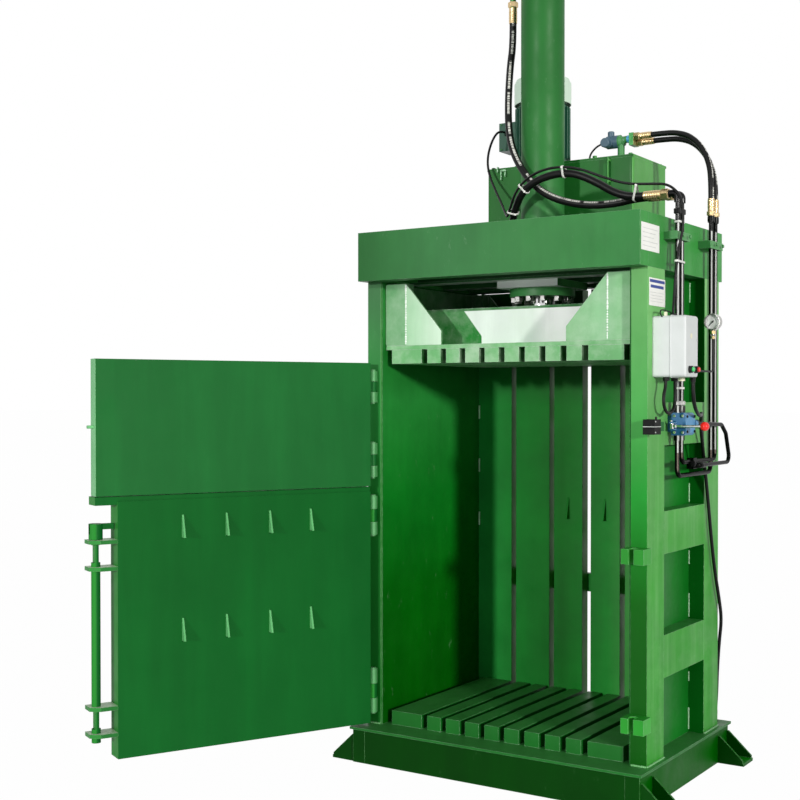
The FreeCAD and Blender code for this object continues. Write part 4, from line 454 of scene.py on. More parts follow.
def make_finishes():
    """Every material, by its name."""
    # Many paints here hold painted light and shade: faces turned a given way, and places along an axis,
    # take lighter or darker tones.
    return {
        "post": paint(
            "paint_post", ("split", "X", -10, 10, LEFT_POST, RIGHT_POST), SIDE_TONE, streak=0.16,
            specular=0.12, scuff=0.12, edge=(150, 200, 150)),
        "beam": paint("paint_beam", BEAM_FRONT, (60, 146, 66), (120, 170, 120), specular=0.2),
        "side": paint(
            "paint_side", RECESS_PAINTED_SHADE, SIDE_TONE, (60, 140, 66), streak=0.16, specular=0.12,
            scuff=0.12, edge=(150, 200, 150)),
        "wall": paint(
            "paint_wall", RECESS_PAINTED_SHADE, ("split", "X", -10, 10, LEFT_WALL, RECESS_WALL),
            roughness=0.5, specular=0.12, cloud=0.2),
        # Painted shade: the back wall darkens towards the top, and its top faces are dark.
        "back": paint(
            "paint_back", BACK_WALL, (50, 126, 36), (16, 60, 22), (50, 126, 36), roughness=0.42,
            specular=0.15, cloud=0.24, scuff=0.1, edge=(34, 96, 42), shade=(1470, 1620, 0.5)),
        # Painted light and shade: the base's fronts are near black and its tops light.
        "base": paint(
            "paint_base", (4, 58, 8), (4, 80, 6), (20, 136, 18), specular=0.06, scuff=0.1,
            edge=(120, 176, 120), edge_width=0.004),
        "floor": paint("paint_floor", (24, 98, 34), (24, 98, 34), (58, 126, 62), specular=0.2),
        "frame": paint("paint_frame", (58, 122, 66), (72, 142, 78), specular=0.3),
        "knuckle": paint("paint_knuckle", (78, 146, 88), specular=0.5, edge=(170, 206, 172)),
        # Painted light: the upper door's free end and the lower door's faces turned ahead take lighter
        # tones.
        "door": paint(
            "paint_door_upper", (30, 98, 46), specular=0.1, cloud=0.07, scuff=0.12,
            edge=(60, 130, 72), past=(DOOR_RUN, 1183, (120, 186, 130))),
        "door_low": paint(
            "paint_door_lower", (20, 90, 37), specular=0.07, cloud=0.07, scuff=0.12,
            edge=(40, 110, 54), past=(DOOR_DEPTH, 21, (100, 176, 112)), ahead=(44, 128, 50)),
        # Painted light: the lock brackets' tops are pale and their faces turned ahead lighter.
        "lock": paint(
            "paint_lock", (30, 104, 42), top=(186, 210, 178), specular=0.2, edge=(176, 206, 170),
            edge_width=0.002, ahead=(46, 124, 54)),
        "press": paint(
            "paint_press", PRESS_FRONT, (60, 130, 66), specular=0.25, roughness=0.44, cloud=0.10,
            painted_glare=0.25, scuff=0.2, edge=(222, 234, 222)),
        # Painted glare and shade: the ribs are pale on their fronts and dark on their sides.
        "ribs": paint(
            "paint_ribs", (104, 168, 108), (30, 90, 36), specular=0.25, roughness=0.44, cloud=0.14,
            painted_glare=0.4, edge=(222, 234, 222)),
        "tank": paint(
            "paint_tank", TANK_FRONT, (80, 154, 72), (76, 140, 76), specular=0.25, cloud=0.15),
        "cylinder": paint(
            "paint_cylinder", CYLINDER_TONE, roughness=0.46, specular=0.2, cloud=0.12),
        "motor": paint("paint_motor", (36, 86, 66), specular=0.4, edge=(110, 150, 130)),
        "cowl": paint(
            "paint_cowl", (204, 226, 208), specular=0.3, cloud=0.06, edge=(235, 238, 228)),
        "filter": paint("paint_filter", FILTER_TONE, specular=0.4, edge=(160, 180, 190)),
        "valve": paint(
            "paint_valve", (38, 96, 140), (80, 140, 186), specular=0.4, edge=(150, 185, 215)),
        "weld": paint(
            "weld_bead", (96, 160, 98), specular=0.5, roughness=0.34, cloud=0.3,
            edge=(160, 200, 160)),
        "weld_pale": paint(
            "weld_bead_pale", (150, 206, 156), specular=0.6, roughness=0.3, cloud=0.4,
            edge=(226, 240, 226)),
        "weld_white": paint(
            "weld_bead_white", (236, 244, 236), specular=0.6, roughness=0.34, cloud=0.1,
            edge=(248, 250, 248)),
        "steel": metal("bright_steel", (186, 186, 182), 0.28),
        "chrome": metal("chrome", (224, 224, 224), 0.10, (1, 1, 0.05)),
        "pipe": pipe_with_painted_highlight("plated_pipe_painted_highlight", PIPE_HIGHLIGHT_TONE, 0.18),
        "loop": pipe_with_painted_highlight("pipe_loop_painted_highlight", LOOP_HIGHLIGHT_TONE, 0.05),
        "brass": metal("brass", (212, 186, 140), 0.3),
        "fitting": metal(
            "fitting", ("split", "X", 299, 301, (62, 128, 70), (212, 186, 140)), 0.3, metallic=0.6),
        # Painted light: the mount plate's edge below 1990 mm is painted near white.
        "mount": paint(
            "paint_mount", ("split", "Z", 1989, 1991, (250, 252, 250), (30, 80, 38)), (60, 130, 64),
            specular=0.3),
        "box": plastic("case_grey", (209, 213, 213), 0.42),
        "dial": plastic("dial_face", (255, 255, 255), 0.4),
        "lug": paint("paint_lug", (37, 134, 40), (56, 152, 54), specular=0.2),
        "cream": plastic("sheet_cream", (238, 234, 206), 0.5),
        "dark": plastic("case_dark", (16, 18, 19), 0.45, specular=0.25),
        "switch": plastic(
            "switch_black", ("split", "Y", -388, -386, (8, 10, 10), (40, 104, 52)), 0.5,
            specular=0.15),
        "red": plastic("button_red", (226, 52, 44), 0.25),
        "green": plastic("button_green", (60, 196, 104), 0.25),
        "ball": plastic("ball_red", (232, 34, 28), 0.2),
        "white": plastic("label_white", (253, 253, 249), 0.4),
        "ink": plastic("ink_black", (12, 13, 14), 0.5, specular=0.25),
        "needle": plastic("needle_black", (66, 74, 80), 0.5, specular=0.25),
        "ink_grey": plastic("ink_grey", (218, 223, 219), 0.5),
        "tape": plastic("tape_blue", (84, 172, 224), 0.35),
        "ink_blue": plastic("ink_blue", (52, 74, 150), 0.45),
        "tie": plastic("tie_white", (236, 236, 232), 0.4),
        "hose": rubber("hose_marked", True),
        "plain_hose": rubber("hose_plain"),
        "cable": rubber("cable_rubber"),
        "lens": glass("clear_lens"),
    }


NODE_FINISH = {
    "post": "front_posts",
    "beam": "top_ring",
    "base": "base_channels anchor_feet",
    "floor": "chamber_floor",
    "frame": "cylinder_gland pipe_clamps",
    "lug": "catch_lugs",
    "mount": "cylinder_mount",
    "knuckle": "post_knuckles hinge_pins",
    "side": "rear_posts cross_members",
    "wall": "side_walls",
    "back": "back_wall",
    "press": "press_frame",
    "ribs": "press_plate press_ribs",
    "door": "upper_door",
    "door_low": "lower_door lock_shaft",
    "lock": "lock_brackets",
    "cylinder": "cylinder_tube cylinder_cap",
    "tank": "oil_tank tank_lid level_gauge",
    "motor": "motor_housing terminal_box",
    "cowl": "fan_cowl",
    "filter": "return_filter",
    "valve": "hand_valve",
    "steel": "gland_bolts switch_plunger piston motor_rotor gauge_case",
    "chrome": "piston_rod valve_lever",
    "pipe": "pressure_pipes",
    "loop": "return_pipes",
    "fitting": "hose_fittings",
    "box": "starter_box starter_cover",
    "dark": "cable_plug button_bezels gauge_tube",
    "needle": "gauge_needle",
    "switch": "limit_switch",
    "red": "stop_button",
    "green": "start_button",
    "ball": "lever_ball",
    "lens": "gauge_lens",
}


def dress_nodes():
    """Gives each carried-over node its finish."""
    for finish, names in NODE_FINISH.items():
        for name in names.split():
            NODES[name].data.materials.clear()
            NODES[name].data.materials.append(FINISHES[finish])


# ---------- tools for pieces

RIGHT, UP, DOWN, FRONT, BACK = (1, 0, 0), (0, 0, 1), (0, 0, -1), (0, -1, 0), (0, 1, 0)
UPRIGHT = 0.9  # rise of a direction that counts as upright
TUBE_SIDES = 18
HEX_CHAMFER = 0.12
BEAD_PITCH, BEAD_LEAST, BEAD_RIPPLE, BEAD_CHANCE = 0.9, 0.72, 0.28, 0.14


def piece(name, shape, finish, body="frame", smooth_angle=35):
    """An object from a shape, smooth where its faces meet softly, with its finish and body."""
    mesh = bpy.data.meshes.new(name)
    bmesh.ops.recalc_face_normals(shape, faces=shape.faces)
    for edge in shape.edges:
        edge.smooth = len(edge.link_faces) != 2 or edge.calc_face_angle() < math.radians(smooth_angle)
    for face in shape.faces:
        face.smooth = True
    shape.to_mesh(mesh)
    shape.free()
    mesh.materials.append(FINISHES[finish])
    thing = bpy.data.objects.new(name, mesh)
    scene.collection.objects.link(thing)
    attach(thing, body)
    return thing


def ring(shape, centre, across, beside, radius, sides, first=0.0):
    """Adds a round of corners about a centre, in metres, from a first share of a turn."""
    turns = (2 * math.pi * (step / sides + first) for step in range(sides))
    return [shape.verts.new(centre + (across * math.cos(turn) + beside * math.sin(turn)) * radius)
            for turn in turns]


def band(shape, first, second):
    """Adds the faces between two rings, of which one may be a single point."""
    faces = []
    for step in range(max(len(first), len(second))):
        corners = (first[step % len(first)], first[(step + 1) % len(first)],
                   second[(step + 1) % len(second)], second[step % len(second)])
        faces.append(shape.faces.new(list(dict.fromkeys(corners))))
    return faces


def frame_along(direction):
    """Two directions square to a third."""
    forward = direction.normalized()
    helper = Vector(UP if abs(forward.z) < UPRIGHT else RIGHT)
    across = forward.cross(helper).normalized()
    return across, forward.cross(across).normalized()


def lathe(shape, profile, start, direction, sides):
    """Adds a turned form: pairs of radius and distance along the direction, in millimetres."""
    direction = Vector(direction).normalized()
    across, beside = frame_along(direction)
    rings = []
    for radius, reach in profile:
        centre = (Vector(start) + direction * reach) / MM
        rings.append(ring(shape, centre, across, beside, radius / MM, sides) if radius
                     else [shape.verts.new(centre)])
    for first, second in zip(rings, rings[1:]):
        band(shape, first, second)


def disc(shape, radius, height, start, direction, sides, top=None):
    """Adds a round plate, which may be narrower at its top."""
    lathe(shape, [(0, 0), (radius, 0), (top or radius, height), (0, height)], start, direction, sides)


def hex_head(shape, centre, direction, across_flats, height):
    """Adds a chamfered hexagon, such as a nut or a bolt's head."""
    radius = across_flats / math.sqrt(3)
    chamfer = radius * HEX_CHAMFER
    lathe(shape, [(0, 0), (radius - chamfer, 0), (radius, chamfer), (radius, height - chamfer),
                  (radius - chamfer, height), (0, height)], centre, direction, 6)


def block(shape, low, high, round_off=0.0):
    """Adds a box between two corners given in millimetres, with its edges rounded."""
    verts = [shape.verts.new(Vector((x, y, z)) / MM) for x in (low[0], high[0])
             for y in (low[1], high[1]) for z in (low[2], high[2])]
    faces = [(0, 1, 3, 2), (4, 6, 7, 5), (0, 4, 5, 1), (2, 3, 7, 6), (0, 2, 6, 4), (1, 5, 7, 3)]
    made = [shape.faces.new([verts[index] for index in face]) for face in faces]
    if round_off:
        edges = list(dict.fromkeys(edge for face in made for edge in face.edges))
        bmesh.ops.bevel(shape, geom=edges, offset=round_off / MM, segments=3, affect="EDGES",
                        profile=0.5)


def filled(make, rows):
    """A new shape that a tool such as block fills from rows of its arguments."""
    shape = bmesh.new()
    for row in rows:
        make(shape, *row)
    return shape


def bead(shape, start, end, radius, chance):
    """Adds an uneven weld bead from one point to another."""
    start, end = Vector(start), Vector(end)
    span = (end - start).length
    count = max(3, int(span / (radius * BEAD_PITCH)))
    profile = [(0, 0)]
    for step in range(count + 1):
        swell = BEAD_LEAST + BEAD_RIPPLE * (step % 2) + chance.uniform(-BEAD_CHANCE, BEAD_CHANCE)
        profile.append((radius * swell, 0.5 + (span - 1) * step / count))
    profile.append((0, span))
    lathe(shape, profile, start, end - start, 8)


def rod_along(shape, points, radius, sides=12, closed=False):
    """Adds a thin round rod along a line of points in millimetres."""
    path = [Vector(point) / MM for point in points]
    count = len(path)
    rings = []
    across = None
    for index, centre in enumerate(path):
        after = path[(index + 1) % count] if closed else path[min(index + 1, count - 1)]
        before = path[index - 1] if closed or index else path[0]
        way = (after - before).normalized()
        if across is None:
            across = frame_along(way)[0]
        across = (across - way * across.dot(way)).normalized()
        rings.append(ring(shape, centre, across, way.cross(across), radius / MM, sides))
    for first, second in zip(rings, rings[1:] + rings[:1] if closed else rings[1:]):
        band(shape, first, second)
    if not closed:
        shape.faces.new(rings[0])
        shape.faces.new(rings[-1])


def smooth_path(points, steps=10):
    """Points along one smooth open spline that the given points steer."""
    data = bpy.data.curves.new("guide", "CURVE")
    data.dimensions = "3D"
    spline = data.splines.new("NURBS")
    spline.points.add(len(points) - 1)
    for knot, point in zip(spline.points, points):
        knot.co = (*point, 1)
    spline.order_u = 3
    spline.use_endpoint_u = True
    spline.resolution_u = steps
    guide = bpy.data.objects.new("guide", data)
    mesh = bpy.data.meshes.new_from_object(guide)
    path = [vert.co.copy() for vert in mesh.vertices]
    bpy.data.meshes.remove(mesh)
    bpy.data.objects.remove(guide)
    bpy.data.curves.remove(data)
    return path


def tube(path, radius, facing):
    """A round tube along a path, unrolled so that the lane of its marks starts on the facing side."""
    shape = bmesh.new()
    layer = shape.loops.layers.uv.new("along")
    way = (path[1] - path[0]).normalized()
    across = (Vector(facing) - way * Vector(facing).dot(way)).normalized()
    rings = []
    run = 0.0
    for index, centre in enumerate(path):
        new_way = (path[min(index + 1, len(path) - 1)] - path[max(index - 1, 0)]).normalized()
        across = way.rotation_difference(new_way) @ across
        way = new_way
        if index:
            run += (centre - path[index - 1]).length
        rings.append((run, ring(shape, centre, across, way.cross(across), radius, TUBE_SIDES, -0.5)))
    for (low, first), (high, second) in zip(rings, rings[1:]):
        for step, face in enumerate(band(shape, first, second)):
            spots = ((low, step), (low, step + 1), (high, step + 1), (high, step))
            for loop, (reach, corner) in zip(face.loops, spots):
                loop[layer].uv = (reach, corner / TUBE_SIDES)
    shape.faces.new(rings[0][1])
    shape.faces.new(rings[-1][1])
    return shape


# ---------- hoses and cables

UPPER_HOSE = [
    (-140, 0, 3088), (-140, 0, 2990), (-143, -20, 2900), (-135, -52, 2740), (-112, -88, 2610),
    (-72, -120, 2510), (-3, -146, 2412), (78, -160, 2335), (172, -166, 2290), (285, -164, 2264),
    (395, -152, 2264), (470, -136, 2280), (530, -136, 2280)]
LOWER_HOSE = [
    (-126, -26, 2106), (-120, -50, 2160), (-98, -88, 2222), (-54, -138, 2282), (-2, -182, 2336),
    (72, -208, 2374), (165, -222, 2392), (255, -228, 2386), (340, -214, 2346), (408, -193, 2300),
    (474, -178, 2280), (530, -178, 2280)]
RETURN_HOSES = [
    [
        (372, 255, 2604), (420, 255, 2604), (486, 252, 2600), (552, 240, 2575), (608, 222, 2520),
        (644, 203, 2448), (660, 180, 2372), (660, 180, 2300)],
    [
        (372, 285, 2584), (420, 285, 2584), (486, 283, 2580), (552, 272, 2555), (608, 258, 2500),
        (644, 243, 2428), (660, 228, 2360), (660, 228, 2300)]]
MOTOR_CABLE = [
    (-312, 240.5, 2688), (-312, 200, 2688), (-320, 166, 2664), (-330, 136, 2606), (-327, 110, 2540),
    (-300, 82, 2472), (-246, 40, 2398), (-180, -20, 2322), (-130, -76, 2268), (-100, -120, 2256),
    (-66, -162, 2280), (-16, -204, 2346), (64, -230, 2396), (163, -243, 2416), (272, -247, 2404),
    (374, -235, 2360), (464, -212, 2326), (560, -200, 2320), (630, -198, 2314), (680, -204, 2268),
    (694, -208, 2200), (692, -210, 2130), (676, -214, 2060), (664, -214, 1950), (664, -222, 1880),
    (666, -236, 1845), (666, -236, 1810)]
CONTROL_LEAD = [
    (668, -312, 1584), (668, -312, 1552), (668, -331, 1521), (668, -334, 1488), (669, -317, 1460),
    (670, -287, 1448), (671, -254, 1457), (672, -234, 1481), (672, -229, 1517), (672, -232, 1551),
    (672, -232, 1584)]
FILTER_LEAD = [
    (174, 262, 2592), (158, 262, 2592), (132, 252, 2582), (112, 240, 2558), (104, 231, 2534),
    (104, 231, 2510)]
CABLE_ROUTE = [
    (741, -229, 1564), (741, -229, 1512), (739, -199, 1468), (733, -150, 1444), (721, -92, 1440),
    (692, -8, 1453), (654, 84, 1400), (638, 168, 1262), (637, 214, 1110), (640, 240, 970),
    (640, 284, 815), (641, 340, 680), (635, 388, 590), (619, 404, 490), (610, 408, 370),
    (606, 412, 270), (594, 434, 206), (576, 490, 166), (550, 542, 116), (524, 588, 68),
    (512, 626, 55.75)]
HOSE_RADIUS = 0.015
RETURN_RADIUS = 0.0115
CABLE_RADIUS = 0.007
COIL_CENTRE = (430, 660)
COIL_RADIUS = 82
COIL_PITCH = 15
COIL_TURNS = 3.25
COIL_STEPS = 16
PLUG_RADIUS = 28


def coil_knots():
    """The turns of the cable on the floor behind the machine, and its end at the plug."""
    count = int(COIL_TURNS * COIL_STEPS)
    knots = []
    for step in range(count + 1):
        turns = step / COIL_STEPS
        turn = 2 * math.pi * turns
        knots.append((COIL_CENTRE[0] + COIL_RADIUS * math.cos(turn),
                      COIL_CENTRE[1] + COIL_RADIUS * math.sin(turn),
                      CABLE_RADIUS * MM + COIL_PITCH * (COIL_TURNS - turns)))
    x, y, z = knots[-1]
    return knots + [(x - 14, y, z), (x - 60, y, z), (x - 115, y, PLUG_RADIUS),
                    (x - 170, y, PLUG_RADIUS)]


def cord_piece(name, points, radius, finish, slot, nodes, facing=(0.45, -0.85, 0.1), **facts):
    """A hose or cable along its route, in place of the nodes it hides."""
    path = smooth_path([Vector(point) / MM for point in points])
    thing = piece(name, tube(path, radius, facing), finish, smooth_angle=60)
    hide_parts(*nodes)


def make_cords():
    """All hoses, leads and the supply cable."""
    held = {"far_end": "object", "lay": "hanging"}
    for name, route, radius, finish, node, stiffness in (
            ("upper_hose_run", UPPER_HOSE, HOSE_RADIUS, "hose", "upper_hose", "stiff"),
            ("lower_hose_run", LOWER_HOSE, HOSE_RADIUS, "plain_hose", "lower_hose", "stiff"),
            ("motor_cable_run", MOTOR_CABLE, 0.005, "cable", "leads", "medium"),
            ("control_lead_run", CONTROL_LEAD, 0.006, "cable", "leads", "limp"),
            ("filter_lead_run", FILTER_LEAD, 0.004, "cable", "leads", "limp")):
        slot = "cable_rubber" if finish == "cable" else "hose_rubber"
        cord_piece(name, route, radius, finish, slot, [node], stiffness=stiffness, **held)
    for count, route in enumerate(RETURN_HOSES, start=1):
        cord_piece(f"return_hose_run_{count}", route, RETURN_RADIUS, "hose", "hose_rubber",
                   ["return_hoses"], (1, 0, 0.2), stiffness="stiff", **held)
    cord_piece("supply_cable_run", CABLE_ROUTE + coil_knots(), CABLE_RADIUS, "cable",
               "cable_rubber", ["supply_cable", "cable_coil", "cable_end"], stiffness="medium",
               far_end="plug", lay="loose", with_pieces=[NODES["cable_plug"]])


# ---------- fittings of the hoses and pipes

SLEEVE_RIBS = 5
PIPE_X = 660
PRESSURE_YS = (-178, -136)
RETURN_YS = (180, 228)
FILTER_PORTS = ((255, 2604), (285, 2584))
TIE_STEPS, TIE_GAP, TIE_HEAD = 24, 1.5, Vector((4, 4, 4))


def ribbed_sleeve(shape, start, direction, radius, length):
    """Adds a crimped sleeve: smooth collars at its ends and grooves between them."""
    profile = [(radius - 2, 0), (radius + 0.6, 0), (radius + 0.6, length * 0.12)]
    for count in range(SLEEVE_RIBS):
        low = length * (0.14 + 0.68 * count / SLEEVE_RIBS)
        high = length * (0.14 + 0.68 * (count + 0.62) / SLEEVE_RIBS)
        profile += [(radius + 0.2, low), (radius + 1.3, low + 1), (radius + 1.3, high),
                    (radius + 0.2, high + 1)]
    profile += [(radius + 0.6, length * 0.86), (radius + 0.6, length), (radius - 2, length)]
    lathe(shape, profile, start, direction, 28)


def make_fittings():
    """Crimped brass sleeves on the hose ends, brass, black and plated nuts, and a turn of tape."""
    sleeves = bmesh.new()
    for y in PRESSURE_YS:
        ribbed_sleeve(sleeves, (526, y, 2280), RIGHT, 16.5, 66)
        hex_head(sleeves, (596, y, 2280), RIGHT, 37, 30)
    for y, z in FILTER_PORTS:
        ribbed_sleeve(sleeves, (326, y, z), RIGHT, 13, 50)
        hex_head(sleeves, (300, y, z), RIGHT, 30, 24)
    for y in RETURN_YS:
        ribbed_sleeve(sleeves, (PIPE_X, y, 2304), DOWN, 13, 48)
        hex_head(sleeves, (PIPE_X, y, 2236), UP, 30, 18)
    ribbed_sleeve(sleeves, (-140, 0, 3084), UP, 16.5, 64)
    hex_head(sleeves, (-140, 0, 3150), UP, 37, 24)
    piece("brass_sleeves", sleeves, "brass")

    nuts = [((PIPE_X, y, z), way, flats, height) for y in PRESSURE_YS
            for z, way, flats, height in ((2222, DOWN, 26, 20), (1452, UP, 27, 26))]
    nuts += [((PIPE_X, y, 2234), DOWN, 25, 22) for y in RETURN_YS]
    nuts += [((690, -75.5, 1410), BACK, 30, 20), ((690, -8, 1248), BACK, 23, 10),
             ((674, -42, 1255), FRONT, 23, 10)]
    piece("black_nuts", filled(hex_head, nuts), "ink")
    nuts = [((PIPE_X, y, 1480), UP, 27, 16) for y in PRESSURE_YS]
    piece("plated_nuts", filled(hex_head, nuts), "steel")
    tape = [(15.1, 0), (16.2, 0), (16.2, 13), (15.1, 13)]
    piece("hose_tape", filled(lathe, [(tape, (266, 262, 2598), RIGHT, 28)]), "tape")


TIES = [
    ((74, -26, 38), [((14, -186, 2343), 15), ((14, -213, 2365), 5)]),
    ((90, -6, -6), [((210, -225, 2389), 15), ((214, -245, 2409), 5)]),
    ((66, 15, -20), [((492, -178, 2280), 15), ((486, -136, 2280), 15), ((490, -208, 2321), 5)]),
    ((44, -50, 60), [((-65, -125, 2267), 15), ((-76, -149, 2274), 5)]),
    (UP, [((660, -178, 2172), 9), ((660, -136, 2172), 9)]),
    (UP, [((660, -178, 2021), 9), ((660, -136, 2021), 9), ((670, -214, 2021), 5)]),
    (UP, [((660, -178, 1545), 9), ((660, -136, 1545), 9)]),
]


def outer_line(spots):
    """The tight closed line round flat points."""
    spots = sorted(spots)
    halves = []
    for line in (spots, spots[::-1]):
        half = []
        for spot in line:
            while len(half) > 1 and ((half[-1][0] - half[-2][0]) * (spot[1] - half[-2][1])
                                     <= (half[-1][1] - half[-2][1]) * (spot[0] - half[-2][0])):
                half.pop()
            half.append(spot)
        halves += half[:-1]
    return halves


def make_ties():
    """White ties drawn tight round the bundles, each with its small head."""
    shape = bmesh.new()
    for direction, cords in TIES:
        way = Vector(direction).normalized()
        level, other = frame_along(way)
        centre = sum((Vector(point) for point, _ in cords), Vector()) / len(cords)
        spots = []
        for point, radius in cords:
            offset = Vector(point) - centre
            for step in range(TIE_STEPS):
                turn = 2 * math.pi * step / TIE_STEPS
                spots.append((offset.dot(level) + (radius + TIE_GAP) * math.cos(turn),
                              offset.dot(other) + (radius + TIE_GAP) * math.sin(turn)))
        points = [centre + level * across + other * high for across, high in outer_line(spots)]
        for shift in (-2.2, 0, 2.2):
            rod_along(shape, [point + way * shift for point in points], 2.0, 8, True)
        head = max(points, key=lambda point: point.x - point.y)
        block(shape, head - TIE_HEAD, head + TIE_HEAD, 1)
    piece("white_ties", shape, "tie")


# ---------- controls

SIDE_FACE = 623
LABEL_FACE = SIDE_FACE + 0.8
PRINT_FACE = LABEL_FACE + 0.3
BOX_FACE = 753
# The seam round the starter's case: where its rounded corners have their centres.
SEAM_X, CORNER_YS, CORNER_ZS, CORNER_RADIUS = 693, (-320.5, -219.5), (1596, 1798), 12.4
WIRE_LOOP = [
    (660, -330, 1806), (660, -349, 1814), (660, -346, 1828), (660, -326, 1832), (660, -290, 1830),
    (660, -262, 1829), (660, -244, 1826), (660, -236, 1818), (660, -236, 1806)]
GAUGE = (690, 117, 1808)


def make_sheets():
    """Two plain labels on the right post and a small sheet on the starter's case."""
    piece("plain_labels", filled(block, [
        ((SIDE_FACE, -438, 2046), (LABEL_FACE, -268, 2147)),
        ((SIDE_FACE, -364, 1848), (LABEL_FACE, -210, 1951))]), "white")
    lines = [((LABEL_FACE, -425, 2126 - 16 * count),
              (PRINT_FACE, -285 - 18 * (count % 3), 2128 - 16 * count)) for count in range(5)]
    lines += [((LABEL_FACE, -354, 1896.4 - 11 * count),
               (PRINT_FACE, -222 - 14 * (count % 2), 1898 - 11 * count)) for count in range(4)]
    piece("label_lines", filled(block, lines), "ink_grey")
    piece("label_stripes", filled(block, [
        ((LABEL_FACE, -358, 1934), (PRINT_FACE, -216, 1945)),
        ((LABEL_FACE, -350, 1914), (PRINT_FACE, -226, 1925))]), "ink_blue")
    piece("case_sticker", filled(disc, [(10, 0.6, (BOX_FACE, -279, 1735), RIGHT, 32)]),
          "cream")


def seam_line():
    """The line round the starter's case where its cover starts."""
    points = []
    for right, top, start in ((1, 1, 0), (0, 1, 90), (0, 0, 180), (1, 0, 270)):
        for step in range(6):
            turn = math.radians(start + 18 * step)
            points.append(Vector((SEAM_X, CORNER_YS[right] + CORNER_RADIUS * math.cos(turn),
                                  CORNER_ZS[top] + CORNER_RADIUS * math.sin(turn))))
    return points


def make_starter_details():
    """The seam of the starter's case, its cover screws, hanging wire, nuts and cable gland."""
    seam = filled(rod_along, [(seam_line(), 2.2, 8, True)])
    for y, z in ((-320, 1797), (-220, 1797), (-320, 1597), (-220, 1720)):
        disc(seam, 4, 1.6, (BOX_FACE, y, z), RIGHT, 20, top=3.4)
    piece("case_seam", seam, "box")
    wire = filled(rod_along, [(smooth_path(WIRE_LOOP, 6), 2.4)])
    piece("hanging_wire", wire, "ink")
    clamp = filled(block, [((654, -298, 1809), (665, -288, 1826), 2)])
    hex_head(clamp, (700, -236, 1584), DOWN, 22, 14)
    piece("wire_clamp", clamp, "cream")

    profile = [(0, 0)]
    for count in range(5):
        radius = 11 - 0.6 * count
        profile += [(radius, 4 * count), (radius, 4 * count + 2.8), (radius - 1.3, 4 * count + 3)]
    profile.append((0, 20))
    gland = filled(lathe, [(profile, (741, -229, 1584), DOWN, 24)])
    thing = piece("cable_gland", gland, "ink")
    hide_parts("leads")
    piece("lead_glands", filled(hex_head, [
        ((670, -312, 1584), DOWN, 22, 14), ((670, -232, 1584), DOWN, 22, 14),
        ((666, -236, 1810), UP, 20, 12), ((-312, 262, 2688), FRONT, 24, 12)]), "ink")


def make_gauge_details():
    """The dial with its marks and hub, and the fitting under the gauge."""
    x, y, z = GAUGE
    piece("gauge_dial", filled(disc, [(28.5, 0.5, GAUGE, FRONT, 48)]), "dial")
    marks = bmesh.new()
    centre = Vector((x, y - 0.7, z))
    for count in range(21):
        turn = math.radians(225 - 13.5 * count)
        inner, thick = (20, 0.7) if count % 5 == 0 else (23, 0.4)
        way = Vector((math.cos(turn), 0, math.sin(turn)))
        rod_along(marks, [centre + way * inner, centre + way * 26], thick, 6)
    piece("gauge_marks", marks, "ink")
    piece("gauge_hub", filled(disc, [(3.5, 3.2, (x, y - 0.6, z), FRONT, 20)]), "ink",
          "needle")
    piece("gauge_nut", filled(hex_head, [
        ((690, 122, 1774), DOWN, 20, 14), ((690, 122, 1753), DOWN, 15, 12)]),
        "brass")


def make_valve_details():
    """Socket screws and bolts of the hand valve."""
    socket_screw = [(0, 0), (5, 0), (5, 4), (2.8, 4), (2.8, 1.5), (0, 1.5)]
    piece("valve_screws", filled(lathe, [
        (socket_screw, (700, y, z), RIGHT, 20) for y in (-182, -106) for z in (1381, 1438)]),
        "ink")
    bolts = [((x, -190.5, z), FRONT, 11, 5) for x in (655, 688) for z in (1378, 1440)]
    bolts.append(((652, -216, 1419), UP, 10, 5))
    piece("valve_bolts", filled(hex_head, bolts), "chrome")


def make_switch_details():
    """The pale seam, screws and short spindle of the door switch."""
    pale = filled(block, [((635, -448.2, 1402), (680.6, -447.4, 1404.5)),
                          ((679.9, -447.4, 1402), (680.6, -387, 1404.5))])
    for z in (1383, 1422):
        disc(pale, 3, 1.4, (680, -438, z), RIGHT, 16, top=2.4)
    piece("switch_seam", pale, "ink_grey")
    spindle = [(0, 0), (4, 0), (4, 8), (2.5, 10), (0, 10)]
    piece("switch_spindle", filled(lathe, [(spindle, (668, -404, 1430), UP, 24)]), "ink")


# ---------- bolts, welds and small marks

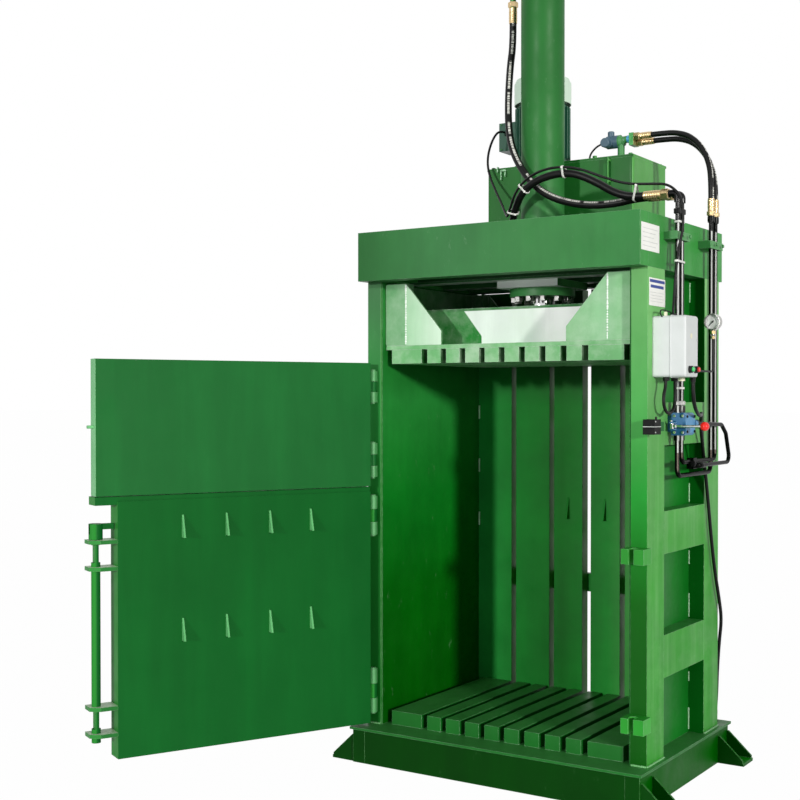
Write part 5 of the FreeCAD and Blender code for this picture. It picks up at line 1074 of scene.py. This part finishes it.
def make_bolts():
    """Bolts of the clamps, the tank lid and the terminal box, a lid latch and anchor washers."""
    piece("tank_latch", filled(block, [
        ((-287, 122, 2490), (-281, 136, 2515), 2), ((-269, 122, 2456), (-263, 136, 2500), 2),
        ((-249, 122, 2470), (-243, 136, 2492), 2), ((-270, 127, 2494), (-244, 136, 2502), 2)]),
        "weld_pale")
    bolts = [((686, y, 2118), RIGHT, 13, 6) for y in (-191, -123, 170, 238)]
    bolts += [((x, y, 2510), UP, 15, 8) for x, y in (
        (-320, 155), (-320, 470), (325, 155), (325, 470), (0, 152), (0, 474))]
    bolts += [((x, 262, z), FRONT, 8, 4) for z in (2618, 2727) for x in (-340, -264)]
    piece("small_bolts", filled(hex_head, bolts), "frame")
    washer = [(9.5, 0), (17, 0), (17, 2.5), (9.5, 2.5), (9.5, 0)]
    piece("anchor_washers", filled(lathe, [
        (washer, (x, y, 12), UP, 28) for x in (-700, 700) for y in (-402.5, 402.5)]),
        "steel")


def make_welds():
    """Painted weld beads where the plates and channels meet."""
    chance = random.Random(7)
    fine = bmesh.new()
    for side in (-1, 1):
        for y in (-376, -212):
            bead(fine, (560 * side, y, 149), (622 * side, y, 149), 5, chance)
        for low, high in ((-374, -213), (212, 374)):
            bead(fine, (625 * side, low, 149), (625 * side, high, 149), 5, chance)
    for y in (-330, 330):
        bead(fine, (560, y, 1989), (622, y, 1989), 4, chance)
    piece("weld_beads", fine, "weld")
    pale = bmesh.new()
    for centre in (1444, 1196, 948):
        bead(pale, (-546, 425, centre - 32), (-546, 425, centre + 32), 5, chance)
    for low, high in ((158, 248), (355, 395), (616, 714), (832, 889), (1085, 1162), (1895, 1975)):
        for x in (-560, 560):
            bead(pale, (x, 210, low), (x, 210, high), 3.5, chance)
    piece("weld_stitches", pale, "weld_pale")
    press = bmesh.new()
    for side in (-1, 1):
        bead(press, (451 * side, -346, 1727), (451 * side, -347, 1976), 5.5, chance)
        bead(press, (282 * side, -346, 1726), (546 * side, -346, 1726), 3.5, chance)
    piece("press_welds", press, "weld_white", "press")


# ---------- build

make_camera()
make_light()
make_floor()
FINISHES = make_finishes()
dress_nodes()
make_cords()
make_fittings()
make_ties()
make_sheets()
make_starter_details()
make_gauge_details()
make_valve_details()
make_switch_details()
make_bolts()
make_welds()
